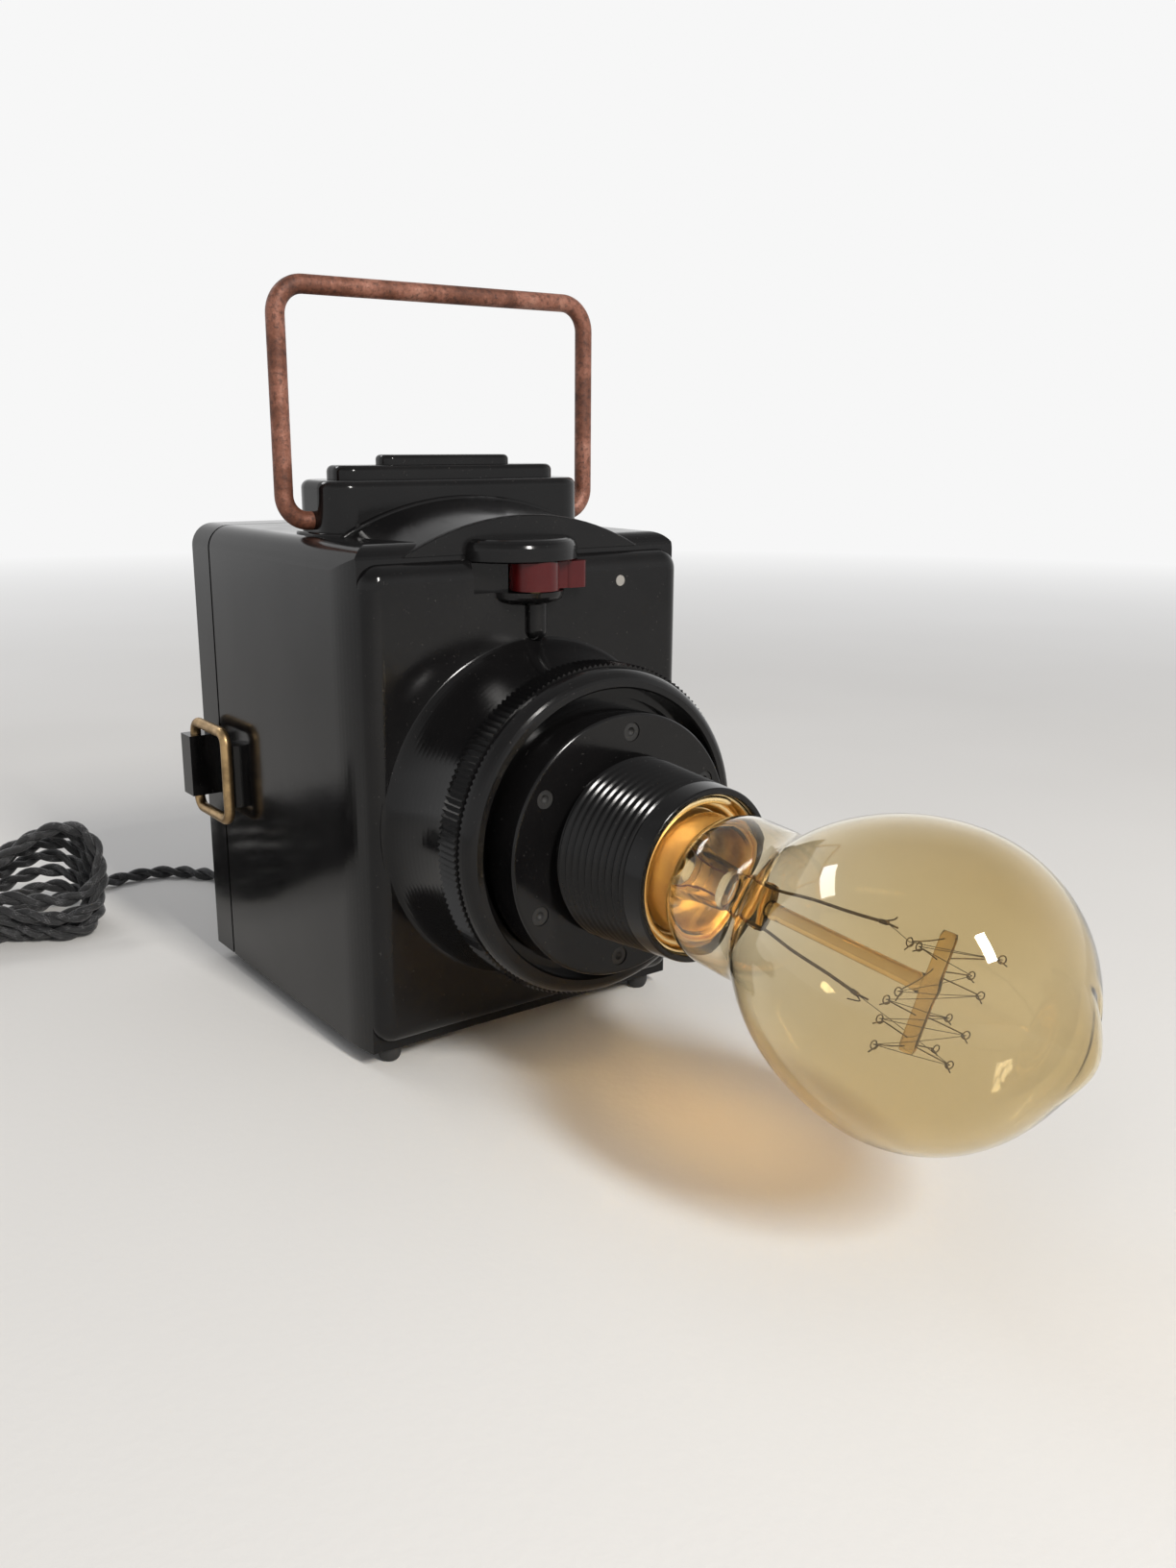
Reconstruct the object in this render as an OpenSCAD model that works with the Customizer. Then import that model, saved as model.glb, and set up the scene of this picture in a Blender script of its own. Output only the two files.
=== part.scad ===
// Upcycled hand lantern used as a table lamp: a moulded case with a round lens mount,
// a lampholder and bulb in place of the lens, a wire bail, a latched rear cover and a twisted flex.
// Millimetres. X is across the case, the lens looks along -Y, Z is up.
// The origin is under the middle of the lamp, on the surface that the feet stand on.

/* [Case] */
// Width across the side walls
case_w = 91; // [88:0.5:96]
// Height from the underside to the flat top
case_h = 118.7; // [116:0.1:122]
// Depth from the lens mount datum to the rear face
case_d = 94; // [90:0.5:100]
// Thickness of the case walls
wall = 3; // [2.5:0.1:3.5]
// Radius of the long top edges
top_round = 6; // [5:0.5:8]
// Setback of the front face behind the lens mount datum
face_setback = 1.5; // [1:0.1:1.8]
// Radius of the front top edge
brow_round = 4.5; // [3.5:0.5:5.5]
// Radius of the bow of the side walls near the front
bow_r = 50; // [45:5:60]
// Distance behind the datum where that bow starts
bow_start = 12; // [8:1:14]

/* [Front panel] */
// Rise of the raised front panel over the datum
panel_rise = 2.2; // [1.6:0.1:2.8]
// Margin between the side walls and the panel
panel_margin = 1.1; // [1:0.1:1.6]
// Margin under the panel
panel_low = 2.2; // [1.5:0.1:3]
// Margin between the panel and the flat top
panel_high = 4.1; // [3.6:0.1:5]
// Radius of the rounded panel edge
panel_edge = 4.2; // [3.8:0.1:4.6]
// Corner radius of the panel seen from the front
panel_corner = 5; // [4.7:0.1:7]

/* [Lens mount] */
// Height of the lens axis over the underside
lens_z = 54.3; // [53:0.1:56]
// Radius of the collar at its front shoulder
collar_r = 37.9; // [37.5:0.1:38.2]
// Growth of that radius where the collar flares into the panel
collar_flare = 4.5; // [3:0.1:5.5]
// Reach of the collar shoulder in front of the datum
collar_reach = 20.4; // [18:0.1:24]
// Radius of the spigot that carries the lens ring
spigot_r = 36.2; // [35.8:0.1:36.6]
// Length of the spigot
spigot_len = 2.6; // [2.2:0.1:3.2]
// Radius of the bore through the collar
bore_r = 33; // [32:0.1:33.5]

/* [Lens ring] */
// Radius over the grip teeth
ring_r = 38.8; // [38.6:0.1:39.6]
// Depth of the grip teeth
tooth_depth = 0.7; // [0.5:0.05:0.9]
// Number of grip teeth
tooth_count = 168; // [120:4:180]
// Width of the toothed band
knurl_w = 6.7; // [6:0.1:8]
// Length of the smooth bezel in front of the teeth
bezel_len = 4.2; // [3.5:0.1:5]
// Radius of the front opening of the ring
ring_mouth_r = 33.65; // [33:0.05:34]
// Inner radius of the lip that holds the adapter disc
lip_r = 31.3; // [31:0.1:31.8]
// Thickness of that lip
lip_t = 1.6; // [1.2:0.1:2]
// Thickness of the gasket behind the disc
gasket_t = 0.8; // [0.6:0.1:1.2]

/* [Adapter disc] */
// Radius of the disc
disc_r = 30.1; // [29:0.1:30.6]
// Thickness of its front plate
disc_plate = 3; // [2.5:0.1:3.5]
// Thickness of its cup wall
disc_wall = 3; // [2.5:0.1:3.5]
// Reach of its front face in front of the datum
disc_reach = 37.5; // [36:0.1:40]
// Radius of its flange
flange_r = 34.8; // [34.2:0.1:35]
// Thickness of its flange
flange_t = 1.6; // [1.4:0.1:1.8]
// Sag of the disc inside the ring
disc_sag = 0.87; // [0:0.01:1]
// Sideways play taken up by the disc
disc_shift = 0.25; // [0:0.05:0.4]
// Number of plugged screw holes
plug_count = 6; // [4:1:8]
// Radius of the circle of the plugs
plug_ring_r = 25.9; // [25:0.1:26.5]
// Radius of a plug
plug_r = 2.1; // [1.6:0.1:2.4]
// Angle of the first plug over the horizontal
plug_phase = 27; // [0:1:59]

/* [Lampholder] */
// Radius over the thread of the lampholder
holder_r = 20; // [19.5:0.1:20.5]
// Depth of its thread ribs
rib_depth = 0.8; // [0.6:0.05:1]
// Pitch of its thread ribs
rib_pitch = 2; // [1.8:0.1:2.1]
// Number of thread ribs
rib_count = 10; // [8:1:10]
// Length from the disc face to the mouth
holder_len = 25.9; // [25:0.1:28]
// Inner radius of the mouth
mouth_r = 17.3; // [17:0.1:17.8]
// Radius of the barrel that passes through the disc
barrel_r = 17.2; // [16.9:0.1:17.4]
// Lean of the lampholder to the right
lean_right = 3; // [0:0.25:4]
// Lean of the lampholder downwards
lean_down = 0.75; // [0:0.25:2]

/* [Bulb] */
// Radius of the round end of the glass
bulb_r = 30; // [28:0.5:32]
// Distance from the cap rim to the centre of the round end
bulb_reach = 62; // [58:0.5:66]
// Radius of the glass neck
neck_r = 16.3; // [15.8:0.1:16.6]
// Radius of the shoulder curve
shoulder_r = 47; // [44:0.5:52]
// Radius of the curve between neck and shoulder
throat_r = 12; // [8:0.5:16]
// Droop of the glass in its cap
glass_droop = 4.9; // [0:0.1:5]
// Height of the sealed tip at the front of the glass
tip_h = 4.2; // [3:0.1:5]
// Thickness of the glass
glass_t = 0.9; // [0.7:0.05:1.1]
// Mean radius of the cap thread
cap_r = 12.75; // [12.6:0.05:12.8]
// Pitch of the cap thread
cap_pitch = 3.6; // [3.4:0.1:3.8]
// Height of the cap from thread start to rim
cap_h = 22.6; // [21.5:0.1:23.5]
// Radius of the glass rod inside the bulb
rod_r = 1.75; // [1.4:0.05:2]
// Length of the cross bar on that rod
bar_len = 24; // [20:1:28]

/* [Handle] */
// Width between the leg centre lines of the bail
bail_w = 87; // [85:0.5:90]
// Height of the bail over its pivot
bail_h = 53.2; // [48:0.1:58]
// Radius of the bail wire
bail_r = 2.2; // [2:0.05:2.4]
// Bend radius at the top corners
bail_bend = 7; // [6:0.5:9]
// Bend radius above the pivot ends
pivot_bend = 6; // [5:0.5:6.4]
// Width of the block that carries the bail
block_w = 73.4; // [70:0.2:75]
// Depth of the block
block_d = 21; // [19:0.5:23]
// Distance of the block centre behind the datum
block_y = 38.5; // [37:0.5:42]
// Rise of the block over the flat top
block_rise = 12.7; // [12:0.1:14]
// Height of the pivot over the flat top
pivot_rise = 3.3; // [3.2:0.1:4]
// Corner radius of the block seen from above
block_corner = 7; // [5:0.5:8]
// Length of the bail ends inside the block
pin_depth = 6.7; // [5:0.1:8]

/* [Crown] */
// Radius of the arch over the lens, measured from the lens axis
arch_r = 69.3; // [69:0.1:71]
// Growth of that radius towards the block
arch_flare = 3.4; // [2:0.1:4.5]
// Radius of the thin beads that end the arch
bead_r = 0.6; // [0.5:0.05:0.8]

/* [Switch] */
// Offset of the switch from the middle of the case
switch_x = -1.8; // [-3:0.1:0]
// Distance of the switch axis in front of the datum
switch_y = 4.2; // [4:0.1:4.6]
// Radius of the switch barrel
knob_r = 5.8; // [5.4:0.1:5.9]
// Reach of the lever from its axis
lever_len = 14.4; // [13:0.1:16]
// Thickness of the finger pad of the lever
lever_t = 3.4; // [2.8:0.1:3.4]
// Thickness of the web between barrel and pad
web_t = 2.2; // [1.8:0.1:2.6]
// Height of the lever
lever_h = 6.2; // [5.6:0.1:6.4]
// Radius of the hood over the switch
hood_r = 15.3; // [15:0.1:16]
// Radius of the boss under the hood
boss_r = 10; // [9.8:0.1:10.6]
// Radius of the spindle
spindle_r = 1.5; // [1.2:0.05:1.8]
// Radius of the position dot
dot_r = 1.3; // [1:0.1:1.6]

/* [Cover and latches] */
// Depth of the rear cover
cover_d = 12; // [11:0.5:14]
// Thickness of the seal in the seam
seal_t = 0.8; // [0.6:0.1:1.2]
// Length of the cover lip inside the case
lip_len = 6; // [4:0.5:8]
// Radius of the latch wire
latch_r = 1.4; // [1.2:0.05:1.6]
// Distance of the latch wire from the side wall
latch_off = 4; // [3.9:0.1:4.4]
// Length of the latch from its pivot to its bar
latch_len = 21; // [20:0.5:22]
// Height of the lower latch arm
latch_z = 42.3; // [40:0.1:46]
// Distance between the latch arms
latch_span = 23.7; // [22:0.1:25]
// Distance of the latch pivot in front of the rear face
latch_inset = 4; // [3.6:0.1:4.2]
// Radius of the catch on the case wall
catch_r = 3.55; // [3.3:0.05:3.6]

/* [Feet and gland] */
// Height of the feet
foot_h = 4.2; // [3.8:0.1:5]
// Radius of a foot
foot_r = 2.8; // [2.4:0.1:3.2]
// Distance of the feet from the middle of the case
foot_x = 38.2; // [36:0.1:40]
// Distance of the front feet behind the datum
foot_y = 5.3; // [5:0.1:8]
// Height of the cord outlet over the underside
gland_z = 16; // [14:0.5:20]
// Offset of the cord outlet to the left
gland_x = 14; // [8:0.5:20]
// Length of the strain relief behind the rear face
gland_len = 26; // [22:0.5:30]

/* [Cord] */
// Radius of the twisted flex
flex_r = 2.15; // [2:0.05:2.3]
// Length of a plug pin
pin_len = 19; // [17:0.5:20]
// Distance between the plug pins
pin_gap = 18.5; // [17:0.1:19]

/* [Hidden] */
$fn = 96;

eps = 0.01;
fit = 0.05;             // radial clearance of a running fit
seat = 0.3;             // clearance between pieces that only rest near each other
half_w = case_w / 2;
seam_y = case_d - cover_d;
cavity_y = face_setback + 1;
catch_gap = 0.1;

// ---- bulb and lampholder axes, in lens coordinates (x, up, forward)
cap_rim = 19.6;
function axis_dir(down, right) = [cos(down) * sin(right), -sin(down), cos(down) * cos(right)];
disc_centre = [-disc_shift, -disc_sag, disc_reach];
glass_tip = disc_centre + cap_rim * axis_dir(lean_down, lean_right)
          + (bulb_reach + bulb_r + tip_h) * axis_dir(lean_down + glass_droop, lean_right);
front_reach = glass_tip[2];
mid_y = (case_d - front_reach) / 2;

// ---- colours
bakelite = [0.04, 0.04, 0.045];
rubber_black = [0.08, 0.08, 0.08];
rust = [0.42, 0.22, 0.15];
brass = [0.78, 0.6, 0.28];
lever_red = [0.35, 0.04, 0.05];
ceramic = [0.9, 0.89, 0.85];
amber = [0.95, 0.78, 0.45, 0.35];
clear_glass = [0.85, 0.88, 0.85, 0.5];
steel_wire = [0.6, 0.6, 0.62];

// ---- frames
module place() {
    translate([0, -mid_y, foot_h]) children();
}
module lens_frame() {
    place() translate([0, 0, lens_z]) rotate([90, 0, 0]) children();
}
module holder_frame() {
    lens_frame() translate(disc_centre) rotate([lean_down, lean_right, 0]) children();
}
module glass_frame() {
    holder_frame() translate([0, 0, cap_rim]) rotate([glass_droop, 0, 0]) children();
}
module switch_frame() {
    place() translate([switch_x, -switch_y, case_h]) children();
}

// ---- general shapes
function arc(cx, cy, r, a0, a1, n) = [for (i = [0 : n])
    let (a = a0 + (a1 - a0) * i / n) [cx + r * cos(a), cy + r * sin(a)]];

// Upright outline with its two top corners rounded, standing on y = 0
module top_rounded(w, h, r) {
    translate([-w / 2, 0]) square([w, h - r]);
    translate([-w / 2 + r, 0]) square([w - 2 * r, h]);
    for (side = [-1, 1]) translate([side * (w / 2 - r), h - r]) circle(r = r);
}

// Block with plan corners of radius rc and a top edge of radius re
module soft_block(w, d, h, rc, re) {
    for (sx = [-1, 1]) for (sy = [-1, 1])
        translate([sx * (w / 2 - rc), sy * (d / 2 - rc), 0]) rotate_extrude()
            union() {
                square([rc, h - re]);
                square([rc - re, h]);
                intersection() {
                    translate([rc - re, h - re]) circle(r = re);
                    square([rc, h]);
                }
            }
    rotate([90, 0, 90]) translate([0, 0, rc - w / 2]) linear_extrude(w - 2 * rc) top_rounded(d, h, re);
    rotate([90, 0, 0]) translate([0, 0, rc - d / 2]) linear_extrude(d - 2 * rc) top_rounded(w, h, re);
}

// Round bar from one point to another
module bar(a, b, r) {
    v = b - a;
    l = norm(v);
    translate(a) rotate([0, acos(v[2] / l), atan2(v[1], v[0])]) cylinder(h = l, r = r);
}

// Quarter bend of round wire in the XZ plane, from angle a0 to a0 + 90
module wire_bend(cx, cz, bend, r, a0) {
    translate([cx, 0, cz]) rotate([90, 0, 0]) rotate([0, 0, a0])
        rotate_extrude(angle = 90) translate([bend, 0]) circle(r = r);
}

// Tube swept along points, with flat ends
function unit(v) = v / norm(v);
function tangent(p, i) = unit(p[min(i + 1, len(p) - 1)] - p[max(i - 1, 0)]);
function spline_at(p, i, t) =
    let (a = p[max(i - 1, 0)], b = p[i], c = p[i + 1], d = p[min(i + 2, len(p) - 1)])
    0.5 * (2 * b + (c - a) * t + (2 * a - 5 * b + 4 * c - d) * t * t + (3 * b - a - 3 * c + d) * t * t * t);
function spline(p, steps) = concat([for (i = [0 : len(p) - 2]) for (k = [0 : steps - 1])
    spline_at(p, i, k / steps)], [p[len(p) - 1]]);
function ring_points(p, i, r, sides) =
    let (t = tangent(p, i), n = unit(cross(t, [0, 0, 1])), b = cross(t, n))
    [for (k = [0 : sides - 1]) p[i] + r * (cos(360 * k / sides) * n + sin(360 * k / sides) * b)];
module swept_tube(p, r, sides) {
    rings = len(p);
    pts = [for (i = [0 : rings - 1]) for (q = ring_points(p, i, r, sides)) q];
    walls = [for (i = [0 : rings - 2]) for (k = [0 : sides - 1])
        [i * sides + k, (i + 1) * sides + k, (i + 1) * sides + (k + 1) % sides, i * sides + (k + 1) % sides]];
    start = [for (k = [0 : sides - 1]) k];
    end = [for (k = [sides - 1 : -1 : 0]) (rings - 1) * sides + k];
    polyhedron(points = pts, faces = concat([start], walls, [end]));
}

// ---- case
// Case outline between two depths, moved in from the outer surface by inset
module case_block(y0, y1, inset) {
    translate([0, y1, inset]) rotate([90, 0, 0]) linear_extrude(y1 - y0)
        top_rounded(case_w - 2 * inset, case_h - 2 * inset, max(top_round - inset, 1));
}

function bow(y) = bow_r - sqrt(bow_r * bow_r - pow(max(bow_start - y, 0), 2));

module plan_mask() {
    bow_steps = 8;
    right = [for (i = [0 : bow_steps]) let (y = bow_start * i / bow_steps) [half_w - bow(y), y]];
    left = [for (i = [bow_steps : -1 : 0]) [-right[i][0], right[i][1]]];
    translate([0, 0, -1]) linear_extrude(case_h + 2)
        polygon(concat(right, [[half_w, case_d], [-half_w, case_d]], left));
}

module brow_mask() {
    edge = face_setback + brow_round;
    translate([-half_w - 1, 0, 0]) rotate([90, 0, 90]) linear_extrude(case_w + 2)
        polygon(concat([[case_d, -1], [case_d, case_h + 1], [edge, case_h + 1]],
                       [for (q = arc(edge, case_h - brow_round, brow_round, 90, 180, 10)) q],
                       [[face_setback, -1]]));
}

module case_body() {
    intersection() {
        case_block(face_setback, seam_y, 0);
        plan_mask();
        brow_mask();
    }
}

module front_panel() {
    panel_w = case_w - 2 * panel_margin;
    panel_h = case_h - panel_low - panel_high;
    depth = panel_rise + cavity_y;
    translate([0, cavity_y, panel_low + panel_h / 2]) rotate([90, 0, 0])
        soft_block(panel_w, panel_h, depth, panel_corner, panel_edge);
}

// Round collar in lens coordinates, from inside the front wall to its spigot
module collar() {
    flare_sink = 0.2;
    flare_len = collar_reach - panel_rise + flare_sink;
    rotate_extrude() polygon(concat(
        [[bore_r, -cavity_y], [collar_r + collar_flare, -cavity_y]],
        [for (i = [0 : 16]) let (a = 90 * i / 16)
            [collar_r + collar_flare * (1 - sin(a)), collar_reach - flare_len * cos(a)]],
        [[spigot_r, collar_reach], [spigot_r, collar_reach + spigot_len],
         [bore_r, collar_reach + spigot_len]]));
}

arch_len = block_y - block_d / 2;

// Arch over the lens, a cone about the lens axis with a bead at each end
module crown() {
    intersection() {
        translate([0, 0, lens_z]) rotate([-90, 0, 0]) {
            cylinder(h = arch_len, r1 = arch_r, r2 = arch_r + arch_flare);
            translate([0, 0, face_setback + bead_r]) bead(arch_r);
            translate([0, 0, arch_len - bead_r]) bead(arch_r + arch_flare);
        }
        translate([-half_w + top_round, face_setback, case_h - wall])
            cube([case_w - 2 * top_round, arch_len - face_setback, arch_r]);
    }
}
module bead(r) {
    rotate_extrude() translate([r, 0]) circle(r = bead_r, $fn = 24);
}

tier_inset = 5.4;
tier_rise = 3.4;
cap_tier_w = 37;
cap_tier_d = 7;
cap_tier_rise = 2.4;
skirt = 1.6;
skirt_rise = 0.7;
module handle_block() {
    translate([0, block_y, case_h - wall]) {
        soft_block(block_w + 2 * skirt, block_d + 2 * skirt, wall + skirt_rise, block_corner + skirt, 0.5);
        soft_block(block_w, block_d, block_rise + wall, block_corner, 2);
        soft_block(block_w - 2 * tier_inset, block_d - 2 * tier_inset + 1,
                   block_rise + wall + tier_rise, 4.5, 1.6);
        soft_block(cap_tier_w, cap_tier_d, block_rise + wall + tier_rise + cap_tier_rise, 3, 1.2);
    }
}

module bail_bores() {
    for (side = [-1, 1])
        translate([side * (block_w / 2 - pin_depth - seat), block_y, case_h + pivot_rise])
            rotate([0, side * 90, 0]) cylinder(h = pin_depth + 2, r = bail_r + fit);
}

// ---- switch housing, in switch coordinates (0 = flat top, axis of the lever)
hood_top = 0.5;
hood_edge = -4.4;
hood_low = -7.7;
boss_low = -12.7;
boss_tip = -15.2;
knob_low = -11.3;
knob_high = -3.7;
lever_low = -11.3;
window_from = -203;
window_to = 20;
module switch_hood() {
    hood_back = hood_r - 6.3;
    translate([0, hood_back, 0]) rotate_extrude() polygon(concat(
        [[0, hood_low], [boss_r + 0.5, hood_low], [hood_r, hood_edge]],
        arc(hood_r - 2.6, hood_top - 2.6, 2.6, 0, 90, 6),
        [[0, hood_top]]));
    translate([0, switch_y, 0]) rotate_extrude() polygon(concat(
        [[0, hood_edge], [boss_r, hood_edge], [boss_r, hood_low]],
        [for (i = [0 : 8]) let (a = 90 * i / 8)
            [(boss_r - 0.8) * cos(a), boss_low - (boss_low - boss_tip) * sin(a)]]));
    finger_rib();
}
rib_r = 2.6;
rib_len = 8.4;
module finger_rib() {
    rib_y = switch_y - panel_rise;
    rib_x = -switch_x;
    translate([rib_x, rib_y, boss_tip - rib_len + rib_r]) {
        cylinder(h = rib_len, r = rib_r, $fn = 48);
        sphere(r = rib_r, $fn = 48);
    }
}
module switch_hollow() {
    translate([0, 0, knob_low - seat]) cylinder(h = knob_high - knob_low + 2 * seat, r = knob_r + seat);
    translate([0, 0, lever_low - seat]) linear_extrude(lever_h + 2 * seat)
        polygon(concat([[0, 0]], arc(0, 0, hood_r, window_from, window_to, 16)));
    translate([0, 0, boss_low - seat]) cylinder(h = hood_top - boss_low - 1.5, r = spindle_r + fit);
    slot_w = contact_gap + contact_w + 1;
    translate([-slot_w / 2, 0, lever_low + 1]) cube([slot_w, switch_y + cavity_y + eps, lever_h - 1]);
}
contact_gap = 4.4;
contact_w = 2.5;

module catches() {
    catch_y = case_d - latch_inset - latch_len
            + sqrt(pow(catch_r + latch_r + catch_gap, 2) - pow(latch_off, 2));
    for (side = [-1, 1]) translate([side * half_w, catch_y, latch_z + latch_bend + seat])
        cylinder(h = latch_span - 2 * (latch_bend + seat), r = catch_r, $fn = 64);
}

dot_x = 25;
dot_drop = 10.9;
module housing() {
    color(bakelite) difference() {
        union() {
            place() {
                case_body();
                front_panel();
                crown();
                handle_block();
                catches();
            }
            switch_frame() switch_hood();
            lens_frame() collar();
        }
        place() {
            case_block(cavity_y, seam_y + 1, wall);
            bail_bores();
            for (side = [-1, 1]) foot_hole(side * foot_x, foot_y);
            translate([dot_x, -panel_rise + 0.3, case_h - dot_drop]) rotate([90, 0, 0])
                cylinder(h = 2, r = dot_r + fit, $fn = 32);
        }
        switch_frame() switch_hollow();
        lens_frame() translate([0, 0, -cavity_y - 1]) cylinder(h = collar_reach + cavity_y, r = bore_r);
    }
}

// ---- feet
stem_r = 1.6;
stem_len = 2.4;
foot_flat = 1.5;
module foot_hole(x, y) {
    translate([x, y, -eps]) cylinder(h = stem_len + 0.2, r = stem_r + fit, $fn = 32);
}
module foot(x, y) {
    translate([x, y, 0]) rotate_extrude() polygon(concat(
        [[0, stem_len], [0, -foot_h], [foot_flat, -foot_h]],
        [for (i = [1 : 6]) let (a = 90 * i / 6)
            [foot_flat + (foot_r - foot_flat) * sin(a), -foot_h + 2.4 * (1 - cos(a))]],
        [[foot_r, 0], [stem_r, 0], [stem_r, stem_len]]));
}
module front_feet() {
    color(bakelite) place() for (side = [-1, 1]) foot(side * foot_x, foot_y);
}
rear_foot_y = seam_y + cover_d / 2;
module rear_feet() {
    color(bakelite) place() for (side = [-1, 1]) foot(side * foot_x, rear_foot_y);
}

// ---- rear cover
latch_bend = 3.2;
latch_pin = 8.5;
lug_h = latch_span - 2 * (latch_bend + seat);
lug_z = latch_z + latch_bend + seat;
latch_y = case_d - latch_inset;
latch_x = half_w + latch_off;
module latch_lug(side) {
    lug_reach = latch_off + latch_r + 1.6;
    translate([side * (half_w + lug_reach / 2 - 1), latch_y, lug_z])
        linear_extrude(lug_h) square([lug_reach + 2, 2 * latch_inset - 1.6], center = true);
}
module rear_cover() {
    lip_wall = 2.2;
    color(bakelite) place() difference() {
        union() {
            case_block(seam_y + catch_gap + seal_t, case_d, 0);
            case_block(seam_y - lip_len, seam_y + catch_gap + seal_t + eps, wall + seat);
            latch_lug(-1);
            latch_lug(1);
        }
        case_block(seam_y - lip_len - 1, case_d - wall, wall + seat + lip_wall);
        for (side = [-1, 1]) {
            translate([side * latch_x, latch_y, lug_z - 1]) cylinder(h = lug_h + 2, r = latch_r + fit);
            foot_hole(side * foot_x, rear_foot_y);
        }
        translate([-gland_x, case_d - wall - 1, gland_z]) rotate([-90, 0, 0])
            cylinder(h = wall + 2, r = gland_neck_r + fit);
    }
}
module cover_seal() {
    color(rubber_black) place() difference() {
        case_block(seam_y + catch_gap, seam_y + catch_gap + seal_t, 0.4);
        case_block(seam_y - 1, seam_y + 2, wall);
    }
}

// ---- handle
module handle() {
    pivot_x = block_w / 2 - pin_depth;
    leg_x = bail_w / 2;
    color(rust) place() translate([0, block_y, case_h + pivot_rise]) {
        for (side = [0, 1]) mirror([side, 0, 0]) {
            translate([pivot_x, 0, 0]) rotate([0, 90, 0])
                cylinder(h = leg_x - pivot_bend - pivot_x, r = bail_r, $fn = 48);
            wire_bend(leg_x - pivot_bend, pivot_bend, pivot_bend, bail_r, 270, $fn = 48);
            translate([leg_x, 0, pivot_bend]) cylinder(h = bail_h - bail_bend - pivot_bend, r = bail_r, $fn = 48);
            wire_bend(leg_x - bail_bend, bail_h - bail_bend, bail_bend, bail_r, 0, $fn = 48);
        }
        translate([bail_bend - leg_x, 0, bail_h]) rotate([0, 90, 0])
            cylinder(h = bail_w - 2 * bail_bend, r = bail_r, $fn = 48);
    }
}

// ---- latches
module latch_wire() {
    arm = latch_len - 2 * latch_bend;
    for (end = [0, 1]) translate([0, 0, end * latch_span]) mirror([0, 0, end]) rotate([0, 0, -90]) {
        wire_bend(latch_bend, latch_bend, latch_bend, latch_r, 180, $fn = 32);
        translate([latch_bend, 0, 0]) rotate([0, 90, 0]) cylinder(h = arm, r = latch_r, $fn = 32);
        wire_bend(latch_len - latch_bend, latch_bend, latch_bend, latch_r, 270, $fn = 32);
        translate([0, 0, latch_bend]) cylinder(h = latch_pin - latch_bend, r = latch_r, $fn = 32);
    }
    translate([0, -latch_len, latch_bend]) cylinder(h = latch_span - 2 * latch_bend, r = latch_r, $fn = 32);
}
module latch_left() {
    color(brass) place() translate([-latch_x, latch_y, latch_z]) latch_wire();
}
module latch_right() {
    color(brass) place() translate([latch_x, latch_y, latch_z]) latch_wire();
}

// ---- switch
module switch_lever() {
    pad_end = lever_len - lever_t / 2;
    pad_start = lever_len - 4.4;
    color(lever_red) switch_frame() difference() {
        union() {
            translate([0, 0, knob_low]) cylinder(h = knob_high - knob_low, r = knob_r, $fn = 64);
            translate([0, -web_t / 2, lever_low]) cube([pad_end, web_t, lever_h]);
            translate([pad_start, -lever_t / 2, lever_low]) cube([pad_end - pad_start, lever_t, lever_h]);
            for (x = [pad_start, pad_end]) translate([x, 0, lever_low])
                cylinder(h = lever_h, r = lever_t / 2, $fn = 32);
        }
        translate([0, 0, knob_low - 1]) cylinder(h = knob_high - knob_low + 2, r = spindle_r + fit, $fn = 48);
    }
}
module switch_spindle() {
    color(brass) switch_frame() translate([0, 0, boss_low])
        cylinder(h = hood_top - boss_low - 2, r = spindle_r, $fn = 48);
}
module position_dot() {
    color("white") place() translate([dot_x, -panel_rise + 0.3, case_h - dot_drop])
        rotate([90, 0, 0]) cylinder(h = 0.4, r = dot_r, $fn = 32);
}
block_top = -15;
block_tall = 11;
module switch_block() {
    color([0.35, 0.2, 0.1]) place()
        translate([switch_x - 8, cavity_y, case_h + block_top - block_tall]) cube([16, 6, block_tall]);
}
module switch_contacts() {
    leaf_t = 0.4;
    leaf_y = cavity_y + 0.5;
    top = lever_low + lever_h - 1;
    bump_r = leaf_y + leaf_t / 2 - (knob_r - switch_y) - seat;
    color(brass) place() translate([switch_x, 0, case_h])
        for (side = [-1, 1]) translate([side * contact_gap / 2, leaf_y, block_top]) {
            translate([-contact_w / 2, 0, 0]) cube([contact_w, 5, leaf_t]);
            translate([-contact_w / 2, 0, 0]) cube([contact_w, leaf_t, top - block_top]);
            translate([0, leaf_t / 2, top - block_top - 2]) sphere(r = bump_r, $fn = 24);
        }
}

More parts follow.
